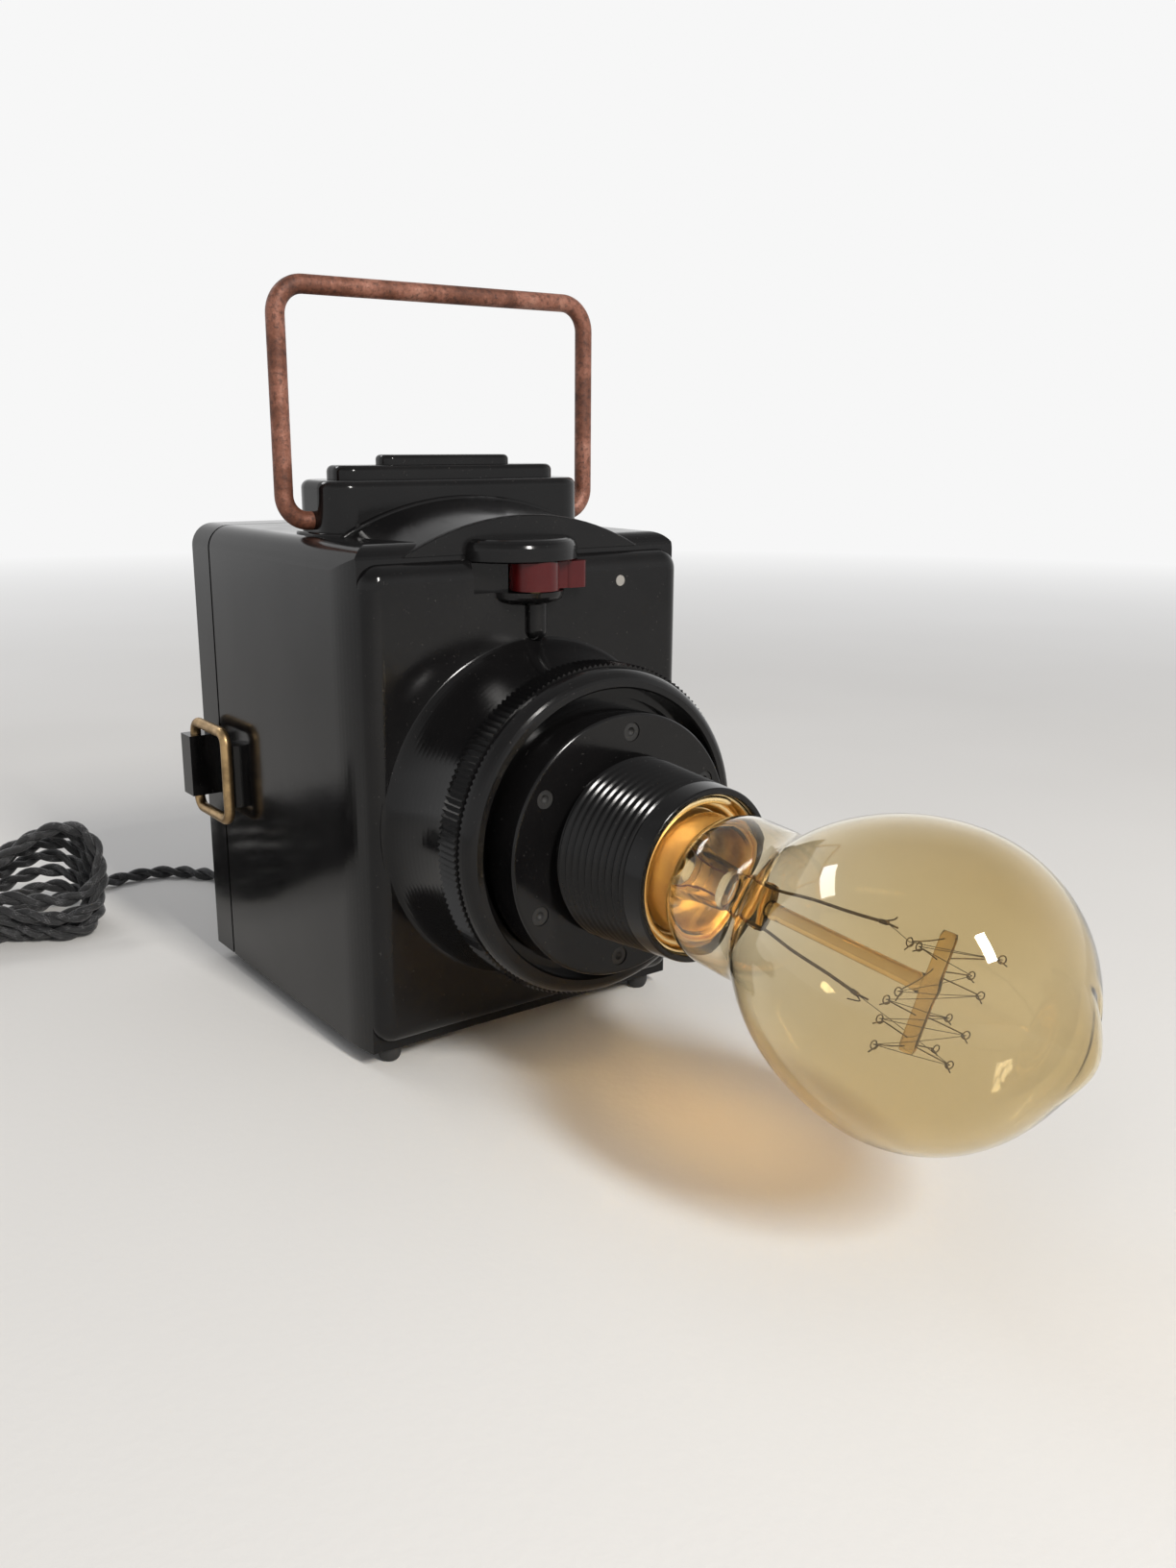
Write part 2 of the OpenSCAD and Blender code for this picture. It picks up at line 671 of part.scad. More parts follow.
// ---- lens ring, in lens coordinates
ring_back = collar_reach + seat;
knurl_end = ring_back + knurl_w;
gasket_back = collar_reach + spigot_len;
flange_back = gasket_back + gasket_t + 0.1;
lip_back = flange_back + flange_t + 0.2;
skirt_r = spigot_r + 0.08;
module lens_gasket() {
    color(rubber_black) lens_frame() translate([0, 0, gasket_back]) difference() {
        cylinder(h = gasket_t, r = spigot_r - 0.2);
        translate([0, 0, -1]) cylinder(h = gasket_t + 2, r = bore_r);
    }
}
module lens_ring() {
    root_r = ring_r - tooth_depth;
    bezel_r = root_r - 0.15;
    front = knurl_end + bezel_len;
    color(bakelite) lens_frame() {
        rotate_extrude() polygon(concat(
            [[skirt_r, ring_back], [skirt_r, lip_back], [lip_r, lip_back],
             [lip_r, lip_back + lip_t], [ring_mouth_r, lip_back + lip_t], [ring_mouth_r, front - 0.4],
             [ring_mouth_r + 0.4, front]],
            [for (i = [1 : 8]) let (a = 90 * (1 - i / 8))
                [ring_mouth_r + 1.2 + (bezel_r - ring_mouth_r - 1.2) * cos(a), front - bezel_len * (1 - sin(a))]],
            [[bezel_r - 0.4, knurl_end - 0.4], [bezel_r - 0.4, ring_back]]));
        translate([0, 0, ring_back + 0.15]) linear_extrude(knurl_w - 0.15) difference() {
            polygon([for (i = [0 : 2 * tooth_count - 1])
                let (r = i % 2 == 0 ? ring_r : root_r, a = 180 * i / tooth_count) [r * cos(a), r * sin(a)]]);
            circle(r = root_r - 1);
        }
    }
}

// ---- adapter disc
pad_rise = 1.2;
pad_r = 19;
module disc_plug_spots() {
    for (i = [0 : plug_count - 1]) rotate([0, 0, plug_phase + 360 * i / plug_count])
        translate([plug_ring_r, 0, -disc_plate]) children();
}
module adapter_disc() {
    cup_len = disc_reach - flange_back;
    color(bakelite) difference() {
        union() {
            lens_frame() translate(disc_centre) rotate_extrude() polygon(concat(
                [[0, -disc_plate], [disc_r - disc_wall, -disc_plate], [disc_r - disc_wall, -cup_len],
                 [flange_r, -cup_len], [flange_r, flange_t - cup_len], [disc_r, flange_t - cup_len]],
                arc(disc_r - 0.6, -0.6, 0.6, 0, 90, 4), [[0, 0]]));
            holder_frame() translate([0, 0, -disc_plate - pad_rise])
                cylinder(h = disc_plate + 2 * pad_rise, r = pad_r);
        }
        holder_frame() translate([0, 0, -disc_reach / 2]) cylinder(h = disc_reach, r = barrel_r + fit);
        lens_frame() translate(disc_centre) disc_plug_spots()
            translate([0, 0, -1]) cylinder(h = disc_plate + 2, r = plug_r + fit, $fn = 32);
    }
}
module disc_plugs() {
    color(rubber_black) lens_frame() translate(disc_centre) disc_plug_spots() difference() {
        cylinder(h = disc_plate - 0.3, r = plug_r, $fn = 32);
        translate([0, 0, disc_plate]) sphere(r = plug_r / 2, $fn = 24);
    }
}

// ---- lampholder, in holder coordinates (0 = disc face, z out of the mouth)
barrel_back = -14;
nut_front = -disc_plate - pad_rise;
nut_t = 5;
shell_r = cap_r + 0.4;
thread_amp = 0.35;
function rib(i, n) = let (phase = 360 * (i % n) / n) 0.5 - 0.5 * cos(phase);
module lampholder_shell() {
    steps = 6;
    root = holder_r - rib_depth;
    lip = 0.5;
    taper = 1.1;
    color(bakelite) holder_frame() rotate_extrude() polygon(concat(
        [[barrel_r - 2, barrel_back], [barrel_r, barrel_back], [barrel_r, pad_rise],
         [root + taper, pad_rise]],
        [for (i = [0 : steps * rib_count]) let (z = pad_rise + 0.3 + rib_pitch * i / steps * 0.97)
            [root + rib_depth * rib(i, steps) + taper * (1 - 2 * z / holder_len), z]],
        [[holder_r - 0.2 - taper / 2, pad_rise + 0.6 + rib_pitch * rib_count * 0.97]],
        arc(holder_r - taper - lip, holder_len - lip, lip, 0, 90, 6),
        arc(mouth_r + 0.6, holder_len - 0.6, 0.6, 90, 180, 4),
        [[mouth_r, 2], [barrel_r - 2, 0.5]]));
}
module lampholder_nut() {
    color(bakelite) holder_frame() translate([0, 0, nut_front - nut_t]) difference() {
        cylinder(h = nut_t, r = barrel_r + 5, $fn = 12);
        translate([0, 0, -1]) cylinder(h = nut_t + 2, r = barrel_r + fit);
    }
}
dome_back = -30;
dome_r = 19;
nipple_r = 5;
module lampholder_cap() {
    dome_start = -20;
    rim = nut_front - nut_t - seat;
    color(bakelite) holder_frame() rotate_extrude() polygon(concat(
        [[barrel_r + fit, rim], [dome_r, rim]],
        [for (i = [0 : 8]) let (a = 90 * i / 8)
            [8 + (dome_r - 8) * cos(a), dome_start + (dome_back - dome_start) * sin(a)]],
        [[8, dome_back - 5], [nipple_r + fit, dome_back - 5], [nipple_r + fit, dome_back + 2.5]],
        [for (i = [8 : -1 : 0]) let (a = 90 * i / 8)
            [6 + (dome_r - 8) * cos(a), dome_start + (dome_back + 2 - dome_start) * sin(a)]],
        [[barrel_r + fit, dome_start]]));
}
module wire_nipple() {
    color(brass) holder_frame() translate([0, 0, dome_back - 9]) difference() {
        cylinder(h = 11, r = nipple_r);
        translate([0, 0, -1]) cylinder(h = 13, r = nipple_r - 1.6);
    }
}
insert_top = barrel_back - seat;
insert_t = 5.4;
insert_boss = 3.8;
module ceramic_insert() {
    color(ceramic) holder_frame() {
        translate([0, 0, insert_top - insert_t]) cylinder(h = insert_t, r = barrel_r - 0.5);
        translate([0, 0, insert_top]) cylinder(h = insert_boss, r = shell_r - thread_amp - 0.15);
    }
}
module terminal_screws() {
    color(brass) holder_frame() for (a = [90, 210, 330]) rotate([0, 0, a])
        translate([8, 0, insert_top - insert_t - 3]) difference() {
            cylinder(h = 3, r = 2.2, $fn = 32);
            translate([-3, -0.3, -1]) cube([6, 0.6, 1.6]);
        }
}
module centre_contact() {
    color(brass) holder_frame() translate([0, 0, insert_top + insert_boss]) {
        cylinder(h = 0.6, r = 4, $fn = 48);
        cylinder(h = 1.9, r1 = 3, r2 = 1.5, $fn = 48);
    }
}
// Wavy thread radius along the holder axis
thread_from = -3;
thread_to = 14;
function wave(z) = thread_amp * sin(360 * (z - thread_from) / cap_pitch);
thread_steps = 34;
function thread_line(r) = [for (i = [0 : thread_steps])
    let (z = thread_from + (thread_to - thread_from) * i / thread_steps) [r + wave(z), z]];
function reversed(p) = [for (i = [len(p) - 1 : -1 : 0]) p[i]];
module screw_shell() {
    sheet = 0.4;
    inner = shell_r;
    step_z = 17.6;
    rim_z = holder_len - 1.7;
    rim_r = mouth_r - seat / 2;
    color(brass) holder_frame() rotate_extrude() polygon(concat(
        [[inner - thread_amp, insert_top + seat]], thread_line(inner),
        [[inner + 0.5, thread_to + 1], [inner + 0.5, step_z], [inner + 1.9, step_z + 1.6],
         [rim_r - 1.5, step_z + 2.2], [rim_r - sheet, step_z + 3.6], [rim_r - sheet, rim_z], [rim_r, rim_z],
         [rim_r, step_z + 3.2], [rim_r - 1.2, step_z + 1.8], [inner + 2.2, step_z + 1.2],
         [inner + 0.5 + sheet, step_z - 0.3], [inner + 0.5 + sheet, thread_to + 1]],
        reversed(thread_line(inner + sheet)), [[inner - thread_amp + sheet, insert_top + seat]]));
}

// ---- bulb, cap in holder coordinates
cap_skirt_r = cap_r + 0.4;
neck_in_cap = 5;
module bulb_cap() {
    color(brass) holder_frame() rotate_extrude() polygon(concat(
        [[cap_r - 0.85, thread_from - 0.4], [cap_r - 0.5, thread_from - 0.4]], thread_line(cap_r),
        [[cap_skirt_r, thread_to + 2], [cap_skirt_r, cap_rim - 0.8], [cap_skirt_r + 0.3, cap_rim - 0.4],
         [cap_skirt_r + 0.3, cap_rim], [cap_r, cap_rim], [cap_r, thread_to + 2],
         [cap_r - 0.85, thread_to - 0.2]]));
}
cap_tip = cap_rim - cap_h - 5;
module cap_insulator() {
    color([0.05, 0.05, 0.06]) holder_frame() rotate_extrude()
        polygon([[4, cap_tip + 1], [6, cap_tip + 1], [cap_r - 0.95, thread_from - 0.3],
                 [cap_r - 0.95, thread_from + 1.5], [4, thread_from + 1.5]]);
}
module cap_contact() {
    color(steel_wire) holder_frame() rotate_extrude()
        polygon([[0, cap_tip], [3.4, cap_tip], [4.8, cap_tip + 0.5], [4.8, cap_tip + 0.95],
                 [3.95, cap_tip + 0.95], [3.95, thread_from + 1.2], [0, thread_from + 1.2]]);
}

// ---- glass, in glass coordinates (0 = cap rim)
throat_y = neck_r + throat_r;
shoulder_y = bulb_r - shoulder_r;
throat_z = bulb_reach - sqrt(pow(shoulder_r + throat_r, 2) - pow(throat_y - shoulder_y, 2));
blend_angle = atan2(bulb_reach - throat_z, throat_y - shoulder_y);
neck_start_r = cap_r - 0.85;
neck_rise = 12;
// Rise of the glass over its round end, near the sealed tip
tip_r = 8.5;
function tip(r) = tip_h * exp(-pow(r / tip_r, 2));
function glass_profile(t) = concat(
    [[neck_start_r - t, -neck_in_cap], [neck_start_r - t, 0]],
    [for (i = [1 : 6]) [neck_start_r + (neck_r - neck_start_r) * sin(15 * i) - t, neck_rise * i / 6]],
    [for (i = [0 : 6]) let (a = blend_angle * i / 6)
        [throat_y - (throat_r + t) * cos(a), throat_z + (throat_r + t) * sin(a)]],
    [for (i = [1 : 8]) let (a = blend_angle * (1 - i / 8))
        [shoulder_y + (shoulder_r - t) * cos(a), bulb_reach - (shoulder_r - t) * sin(a)]],
    [for (i = [1 : 22]) let (a = i < 14 ? 4.5 * i : 58.5 + 3.5 * (i - 13), r = max((bulb_r - t) * cos(a), 0))
        [r, bulb_reach + (bulb_r - t) * sin(a) + tip(r)]]);
module bulb_glass() {
    color(amber) glass_frame() rotate_extrude()
        polygon(concat(glass_profile(0), reversed(glass_profile(glass_t))));
}
press_end = 24;
press_w = 10;
press_t = 4;
module bulb_stem() {
    color(clear_glass) roll_frame() {
        rotate_extrude() polygon([[3, -4], [neck_start_r - glass_t - seat, -4], [neck_start_r - glass_t - seat, -3],
                                  [7, 1], [5, 7], [4.6, 14], [3, 14]]);
        translate([0, 0, 11]) linear_extrude(press_end - 11) {
            square([press_t, press_w - press_t], center = true);
            for (side = [-1, 1]) translate([0, side * (press_w - press_t) / 2]) circle(r = press_t / 2, $fn = 32);
        }
    }
}
rod_len = 39.4;
bar_roll = 20;
bar_shift = -1;
bar_r = 1.6;
// Glass coordinates rolled so that y runs along the cross bar
module roll_frame() {
    glass_frame() rotate([0, 0, -bar_roll]) children();
}
module bar_frame() {
    roll_frame() translate([0, bar_shift, press_end + rod_len]) children();
}
module glass_arbor() {
    color(clear_glass) {
        roll_frame() translate([0, 0, press_end]) cylinder(h = rod_len, r = rod_r, $fn = 32);
        bar_frame() translate([0, -bar_len / 2, 0]) rotate([-90, 0, 0]) cylinder(h = bar_len, r = bar_r, $fn = 32);
    }
}
// Hook tips around the cross bar: station along the bar, side of the bar, reach
hook_r = 0.25;
hook_reach = 9;
hook_stations = [-0.46, -0.26, 0.26, 0.46];
function hook_root(k, side) = [side * (bar_r + 0.05), hook_stations[k] * bar_len, 0];
function hook_tip(k, side) = [side * hook_reach, hook_stations[k] * bar_len * 1.25, (k % 2 == 0 ? 2 : -2)];
module filament_supports() {
    color(steel_wire) bar_frame() for (side = [-1, 1]) for (k = [0 : 3])
        bar(hook_root(k, side), hook_tip(k, side), hook_r, $fn = 16);
}
filament_r = 0.15;
filament_gap = 0.45;
module filament() {
    tips = concat([for (k = [0 : 3]) hook_tip(k, -1)], [for (k = [3 : -1 : 0]) hook_tip(k, 1)]);
    color([0.3, 0.26, 0.22]) bar_frame() for (i = [0 : len(tips) - 2]) {
        v = unit(tips[i + 1] - tips[i]);
        bar(tips[i] + v * filament_gap, tips[i + 1] - v * filament_gap, filament_r, $fn = 16);
    }
}
lead_r = 0.3;
lead_root = 3.9;
lead_spread = 7.3;
lead_reach = 50.3;
module lead_wires() {
    color(steel_wire) roll_frame() for (side = [-1, 1])
        bar([0, side * lead_root, press_end + 0.1], [0, side * lead_spread, lead_reach], lead_r, $fn = 16);
}

// ---- wiring and cord
// Flex inside the case, from the outlet to the lampholder
flex_inside = [[-14, 88.2, 16], [-14, 78, 15.6], [-13.8, 68, 12], [-13, 56, 8], [-10, 43, 9.5], [-6.5, 31, 20],
               [-4, 21, 37], [-2.8, 13, 49], [-2.4, 7, 53.2], [-2.3, 1.9, 53.9]];
module inner_flex() {
    color(rubber_black) place() swept_tube(spline(flex_inside, 2), flex_r - 0.1, 8);
}
gland_neck_r = 5.5;
gland_root_r = 7;
gland_tip_r = 3.4;
module cord_gland() {
    collar_t = 3;
    color(rubber_black) place() translate([-gland_x, case_d, gland_z]) rotate([-90, 0, 0])
        rotate_extrude() polygon([
            [flex_r + fit, -wall - 2.5], [gland_root_r, -wall - 2.5], [gland_root_r, -wall - 0.2],
            [gland_neck_r, -wall - 0.2], [gland_neck_r, 0.2], [gland_root_r, 0.2],
            [gland_root_r - 0.5, collar_t], [gland_tip_r, gland_len], [flex_r + fit, gland_len]]);
}
table_z = -foot_h;
cord_z = flex_r - foot_h + 0.05;
// Route on the table: out of the strain relief, down, and left to the hank
lead_route = [[-14, 88.6, 16], [-14, 98, 16], [-14, 110, 16], [-14, 122, 15.4], [-14.2, 132, 12], [-15, 141, 6],
              [-17, 150, 0.6], [-21, 158, cord_z], [-27, 166, cord_z], [-35, 172, cord_z],
              [-46, 173, cord_z], [-57, 170, cord_z], [-67, 165.5, cord_z], [-74, 162, cord_z]];
tail_route = [[-169, 157, 6], [-177, 159, 4], [-186, 162, 0.6], [-194, 167, cord_z], [-199, 174.5, cord_z],
              [-199, 183, cord_z], [-193, 190, -1.4], [-184, 193, 1.2], [-175, 193, 2.7]];
module cord_lead() {
    color(rubber_black) place() swept_tube(spline(lead_route, 2), flex_r, 8);
}
module cord_tail() {
    color(rubber_black) place() swept_tube(spline(tail_route, 2), flex_r, 8);
}
hank_from = -172;
hank_to = -58;
hank_front = 124;
hank_back = 168;
hank_top = 31;
hank_edge = 4;
hank_slope = 16;
module cord_hank() {
    r = (hank_back - hank_front) / 2;
    color(rubber_black) place() intersection() {
        translate([0, 0, table_z]) linear_extrude(hank_top - table_z + 1) union() {
            translate([hank_from + r, hank_front]) square([hank_to - hank_from - 2 * r, 2 * r]);
            for (x = [hank_from + r, hank_to - r]) translate([x, hank_front + r]) circle(r = r);
        }
        translate([hank_from, 0, 0]) rotate([90, 0, 90]) linear_extrude(hank_to - hank_from)
            polygon([[hank_front, table_z], [hank_back, table_z], [hank_back, hank_edge],
                     [hank_back - hank_slope, hank_top], [hank_front + hank_slope, hank_top],
                     [hank_front, hank_edge]]);
    }
}
plug_at = [-175, 193, 2.8];
plug_tail = 22;
plug_len = 36;
plug_h = 13.7;
plug_back_w = 16;
plug_front_w = 26;
module plug_frame() {
    place() translate(plug_at) children();
}
module plug_body() {
    color(rubber_black) plug_frame() {
        rotate([0, 90, 0]) difference() {
            cylinder(h = plug_tail, r1 = flex_r + 1, r2 = 5.5, $fn = 48);
            translate([0, 0, -1]) cylinder(h = 4, r = flex_r + fit, $fn = 48);
        }
        translate([plug_tail - 1, 0, -plug_h / 2]) linear_extrude(plug_h)
            polygon([[0, -plug_back_w / 2 + 2], [2, -plug_back_w / 2], [plug_len - 4, -plug_front_w / 2],
                     [plug_len, -plug_front_w / 2 + 4], [plug_len, plug_front_w / 2 - 4],
                     [plug_len - 4, plug_front_w / 2], [2, plug_back_w / 2], [0, plug_back_w / 2 - 2]]);
    }
}
module plug_pins() {
    color(brass) plug_frame() for (side = [-1, 1])
        translate([plug_tail - 1 + plug_len, side * pin_gap / 2, 0]) rotate([0, 90, 0])
            cylinder(h = pin_len, r = 2, $fn = 32);
}

housing();
rear_cover();
cover_seal();
front_feet();
rear_feet();
handle();
latch_left();
latch_right();
switch_lever();
switch_spindle();
position_dot();
switch_block();
switch_contacts();
lens_gasket();
lens_ring();
adapter_disc();
disc_plugs();
lampholder_shell();
lampholder_nut();
lampholder_cap();
wire_nipple();
ceramic_insert();
screw_shell();
centre_contact();
terminal_screws();
bulb_cap();
cap_insulator();
cap_contact();
bulb_glass();
bulb_stem();
glass_arbor();
filament_supports();
lead_wires();
filament();
inner_flex();
cord_gland();
cord_lead();
cord_hank();
cord_tail();
plug_body();
plug_pins();
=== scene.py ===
"""Dressed model of an upcycled hand lantern with a filament bulb.

Lengths in the tables below are millimetres in the lantern's own directions: x across the case,
y from the lens mount datum towards the rear, z from the underside of the case. place() takes
them into the frame, in metres.
"""
import math

import bpy
from mathutils import Matrix, Vector


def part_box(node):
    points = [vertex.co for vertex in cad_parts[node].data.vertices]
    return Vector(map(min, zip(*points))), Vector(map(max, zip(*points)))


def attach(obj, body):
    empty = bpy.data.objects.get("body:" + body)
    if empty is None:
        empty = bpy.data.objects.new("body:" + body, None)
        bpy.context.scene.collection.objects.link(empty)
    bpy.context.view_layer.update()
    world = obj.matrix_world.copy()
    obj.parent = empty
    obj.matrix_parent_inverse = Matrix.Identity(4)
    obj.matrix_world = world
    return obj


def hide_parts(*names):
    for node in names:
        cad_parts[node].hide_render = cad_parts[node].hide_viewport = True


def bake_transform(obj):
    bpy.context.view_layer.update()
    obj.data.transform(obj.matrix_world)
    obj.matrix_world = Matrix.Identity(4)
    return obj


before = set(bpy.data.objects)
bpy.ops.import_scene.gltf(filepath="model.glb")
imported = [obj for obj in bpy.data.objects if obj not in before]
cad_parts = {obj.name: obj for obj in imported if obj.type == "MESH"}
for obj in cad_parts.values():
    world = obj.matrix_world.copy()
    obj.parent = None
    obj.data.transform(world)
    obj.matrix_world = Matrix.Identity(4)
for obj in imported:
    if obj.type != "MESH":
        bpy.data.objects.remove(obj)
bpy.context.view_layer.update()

MM = 0.001
# Sizes shared with the solids
CASE_D = 94.0
FOOT_H = 4.2
LENS_Z = 54.3
DISC_CENTRE = (-0.25, -0.87, 37.5)
LEAN_RIGHT = 3
LEAN_DOWN = 0.75
CAP_RIM = 19.6
GLASS_DROOP = 4.9
STEM_ROLL = -20
PRESS_END = 24.0
ROD_LEN = 39.4
DATUM_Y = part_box("rear_cover")[1][1] / MM - CASE_D


# ---------------------------------------------------------------- frames
def shift(x, y, z):
    return Matrix.Translation((x, y, z))


def turn(angle, axis):
    return Matrix.Rotation(math.radians(angle), 4, axis)


# Frames whose z runs along the lens, the lampholder and the bulb. ROLL is the bulb's frame turned
# to the stem's flat side, and BAR is the same at the cross bar.
CASE = Matrix.Scale(MM, 4) @ shift(0, DATUM_Y, FOOT_H)
LENS = CASE @ shift(0, 0, LENS_Z) @ turn(90, "X")
HOLDER = LENS @ shift(*DISC_CENTRE) @ turn(LEAN_RIGHT, "Y") @ turn(LEAN_DOWN, "X")
GLASS = HOLDER @ shift(0, 0, CAP_RIM) @ turn(GLASS_DROOP, "X")
ROLL = GLASS @ turn(STEM_ROLL, "Z")
BAR = ROLL @ shift(0, 0, PRESS_END + ROD_LEN)


def place(x, y, z):
    return CASE @ Vector((x, y, z))


# ---------------------------------------------------------------- camera
CAMERA_AT = (-179.63, -263.51, 142.37)
CAMERA_RIGHT = (0.80205, -0.59723, 0.00581)
CAMERA_UP = (0.14522, 0.20445, 0.96805)
CAMERA_LENS = 31.04
CAMERA_SENSOR = 36
CAMERA_NEAR = 0.01


def add_camera():
    right, up = Vector(CAMERA_RIGHT), Vector(CAMERA_UP)
    back = right.cross(up)
    camera = bpy.data.objects.new("camera", bpy.data.cameras.new("camera"))
    camera.data.lens = CAMERA_LENS
    camera.data.sensor_width = CAMERA_SENSOR
    camera.data.clip_start = CAMERA_NEAR
    rows = [[right[i], up[i], back[i]] for i in range(3)]
    camera.matrix_world = Matrix.Translation(place(*CAMERA_AT)) @ Matrix(rows).to_4x4()
    bpy.context.scene.collection.objects.link(camera)
    bpy.context.scene.camera = camera


# ---------------------------------------------------------------- materials
class Nodes:
    """Short way to build the node tree of a material or the world."""

    def __init__(self, name, world=False):
        self.material = (bpy.data.worlds if world else bpy.data.materials).new(name)
        self.material.use_nodes = True
        self.tree = self.material.node_tree
        self.shader = self.tree.nodes["Background" if world else "Principled BSDF"]
        self.output = self.tree.nodes["World Output" if world else "Material Output"]
        self.coords = self.tree.nodes.new("ShaderNodeTexCoord")

    def set(self, **values):
        for key, value in values.items():
            self.shader.inputs[key.replace("_", " ")].default_value = value

    def node(self, kind, inputs=None, **settings):
        made = self.tree.nodes.new("ShaderNode" + kind)
        for key, value in settings.items():
            setattr(made, key, value)
        for key, value in (inputs or {}).items():
            self.join(value, made.inputs[key])
        return made

    def join(self, value, socket):
        if isinstance(value, bpy.types.NodeSocket):
            self.tree.links.new(value, socket)
        else:
            socket.default_value = value

    def place_at(self, scale=(1, 1, 1)):
        made = self.node("Mapping", {"Vector": self.coords.outputs["Object"]})
        made.inputs["Scale"].default_value = scale
        return made.outputs[0]

    def noise(self, scale, detail, rough, vector=None):
        inputs = {"Vector": vector or self.place_at(), "Scale": scale, "Detail": detail,
                  "Roughness": rough}
        return self.node("TexNoise", inputs).outputs["Fac"]

    def span(self, value, low, high, to_low, to_high):
        made = self.node("MapRange", {0: value, 1: low, 2: high, 3: to_low, 4: to_high})
        return made.outputs[0]

    def ramp(self, value, stops):
        made = self.node("ValToRGB", {"Fac": value})
        elements = made.color_ramp.elements
        for _ in range(len(stops) - 2):
            elements.new(0.5)
        for element, (at, colour) in zip(elements, stops):
            element.position = at
            element.color = (*colour, 1)
        return made.outputs["Color"]

    def mix(self, fac, a, b):
        made = self.node("Mix", data_type="RGBA")
        for socket, value in zip((0, 6, 7), (fac, a, b)):
            if isinstance(value, tuple):
                value = (*value, 1)
            self.join(value, made.inputs[socket])
        return made.outputs[2]

    def math(self, operation, a, b=0.0):
        made = self.node("Math", operation=operation)
        self.join(a, made.inputs[0])
        self.join(b, made.inputs[1])
        return made.outputs[0]

    def backdrop_seen(self):
        """1 for rays that show the backdrop, straight or by way of gloss and glass."""
        rays = self.tree.nodes.new("ShaderNodeLightPath").outputs
        seen = self.math("MAXIMUM", rays["Is Camera Ray"], rays["Is Glossy Ray"])
        seen = self.math("MAXIMUM", seen, rays["Is Transmission Ray"])
        return self.math("MULTIPLY", seen, self.math("LESS_THAN", rays["Diffuse Depth"], 0.5))

    def let_lamps_through(self, tint):
        """Glass that casts a tinted shadow. Each wall has two faces, which tint by the root.

        Returns the material.
        """
        root = self.node("Gamma", {"Color": tint, "Gamma": 0.5}).outputs[0]
        lamp_ray = self.tree.nodes.new("ShaderNodeLightPath").outputs["Is Shadow Ray"]
        return self.show_as(lamp_ray, self.node("BsdfTransparent", {"Color": root}))

    def show_as(self, fac, other):
        """Puts another shader in place of the main one by a factor. Returns the material."""
        swap = self.node("MixShader", {0: fac, 1: self.shader.outputs[0], 2: other.outputs[0]})
        self.tree.links.new(swap.outputs[0], self.output.inputs["Surface"])
        return self.material

    def bump(self, height, distance, strength, normal=None):
        made = self.node("Bump", {"Height": height, "Distance": distance, "Strength": strength})
        if normal is not None:
            self.join(normal, made.inputs["Normal"])
        return made.outputs[0]

    def feed(self, **sockets):
        """Links or sets the main shader's sockets by name. Returns the material."""
        for key, value in sockets.items():
            self.join(value, self.shader.inputs[key.replace("_", " ")])
        return self.material


def bakelite_material(name, rough=0.1, wear=1.0):
    """Near black and glossy, with slow waves, fine scratches and a little dust."""
    m = Nodes(name)
    m.set(Specular_IOR_Level=0.25)
    smudge = m.noise(38, 5, 0.6)
    grain = m.noise(900, 3, 0.6)
    scratch = m.noise(60, 8, 0.75, m.place_at((14, 1, 3)))
    dust = m.ramp(m.noise(1500, 2, 0.5), [(0.0, (0, 0, 0)), (0.71, (0, 0, 0)), (0.76, (1, 1, 1))])
    base = m.ramp(smudge, [(0.3, (0.0042, 0.0040, 0.0042)), (0.7, (0.0085, 0.0080, 0.0080))])
    colour = m.mix(m.math("MULTIPLY", dust, 0.10 * wear), base, (0.36, 0.34, 0.31))
    gloss = m.math("ADD", m.span(smudge, 0.35, 0.75, rough, rough + 0.1 * wear),
                   m.span(scratch, 0.6, 0.8, 0.0, 0.1 * wear))
    waves = m.bump(m.noise(22, 2, 0.5), 0.0004, 0.5)
    normal = m.bump(grain, 0.00002, 0.4, waves)
    return m.feed(Base_Color=colour, Roughness=gloss, Normal=normal)


def rust_material():
    """Bail wire: worn plating over brown rust, with pits and darker patches."""
    m = Nodes("rusty_wire")
    m.set(Metallic=0.25)
    patch = m.noise(95, 6, 0.7)
    speck = m.noise(900, 4, 0.7)
    tone = m.ramp(patch, [(0.30, (0.060, 0.020, 0.011)), (0.46, (0.175, 0.062, 0.034)),
                          (0.56, (0.290, 0.118, 0.076)), (0.70, (0.400, 0.200, 0.140))])
    colour = m.mix(m.span(speck, 0.50, 0.66, 0.0, 0.75), tone, (0.045, 0.018, 0.012))
    gloss = m.span(patch, 0.3, 0.7, 0.62, 0.40)
    pits = m.bump(speck, 0.00022, 0.8)
    normal = m.bump(patch, 0.0004, 0.4, pits)
    return m.feed(Base_Color=colour, Roughness=gloss, Normal=normal)


def metal_material(name, colour, dark, rough, patch_scale=70, stain=0.6):
    """Sheet or wire metal with stains and a fine drawn grain."""
    m = Nodes(name)
    m.set(Metallic=1.0)
    patch = m.noise(patch_scale, 5, 0.65)
    grain = m.noise(1600, 2, 0.5)
    tone = m.mix(m.span(patch, 0.42, 0.68, 0.0, stain), colour, dark)
    gloss = m.span(patch, 0.35, 0.7, rough, rough + 0.28)
    return m.feed(Base_Color=tone, Roughness=gloss, Normal=m.bump(grain, 0.00003, 0.5))


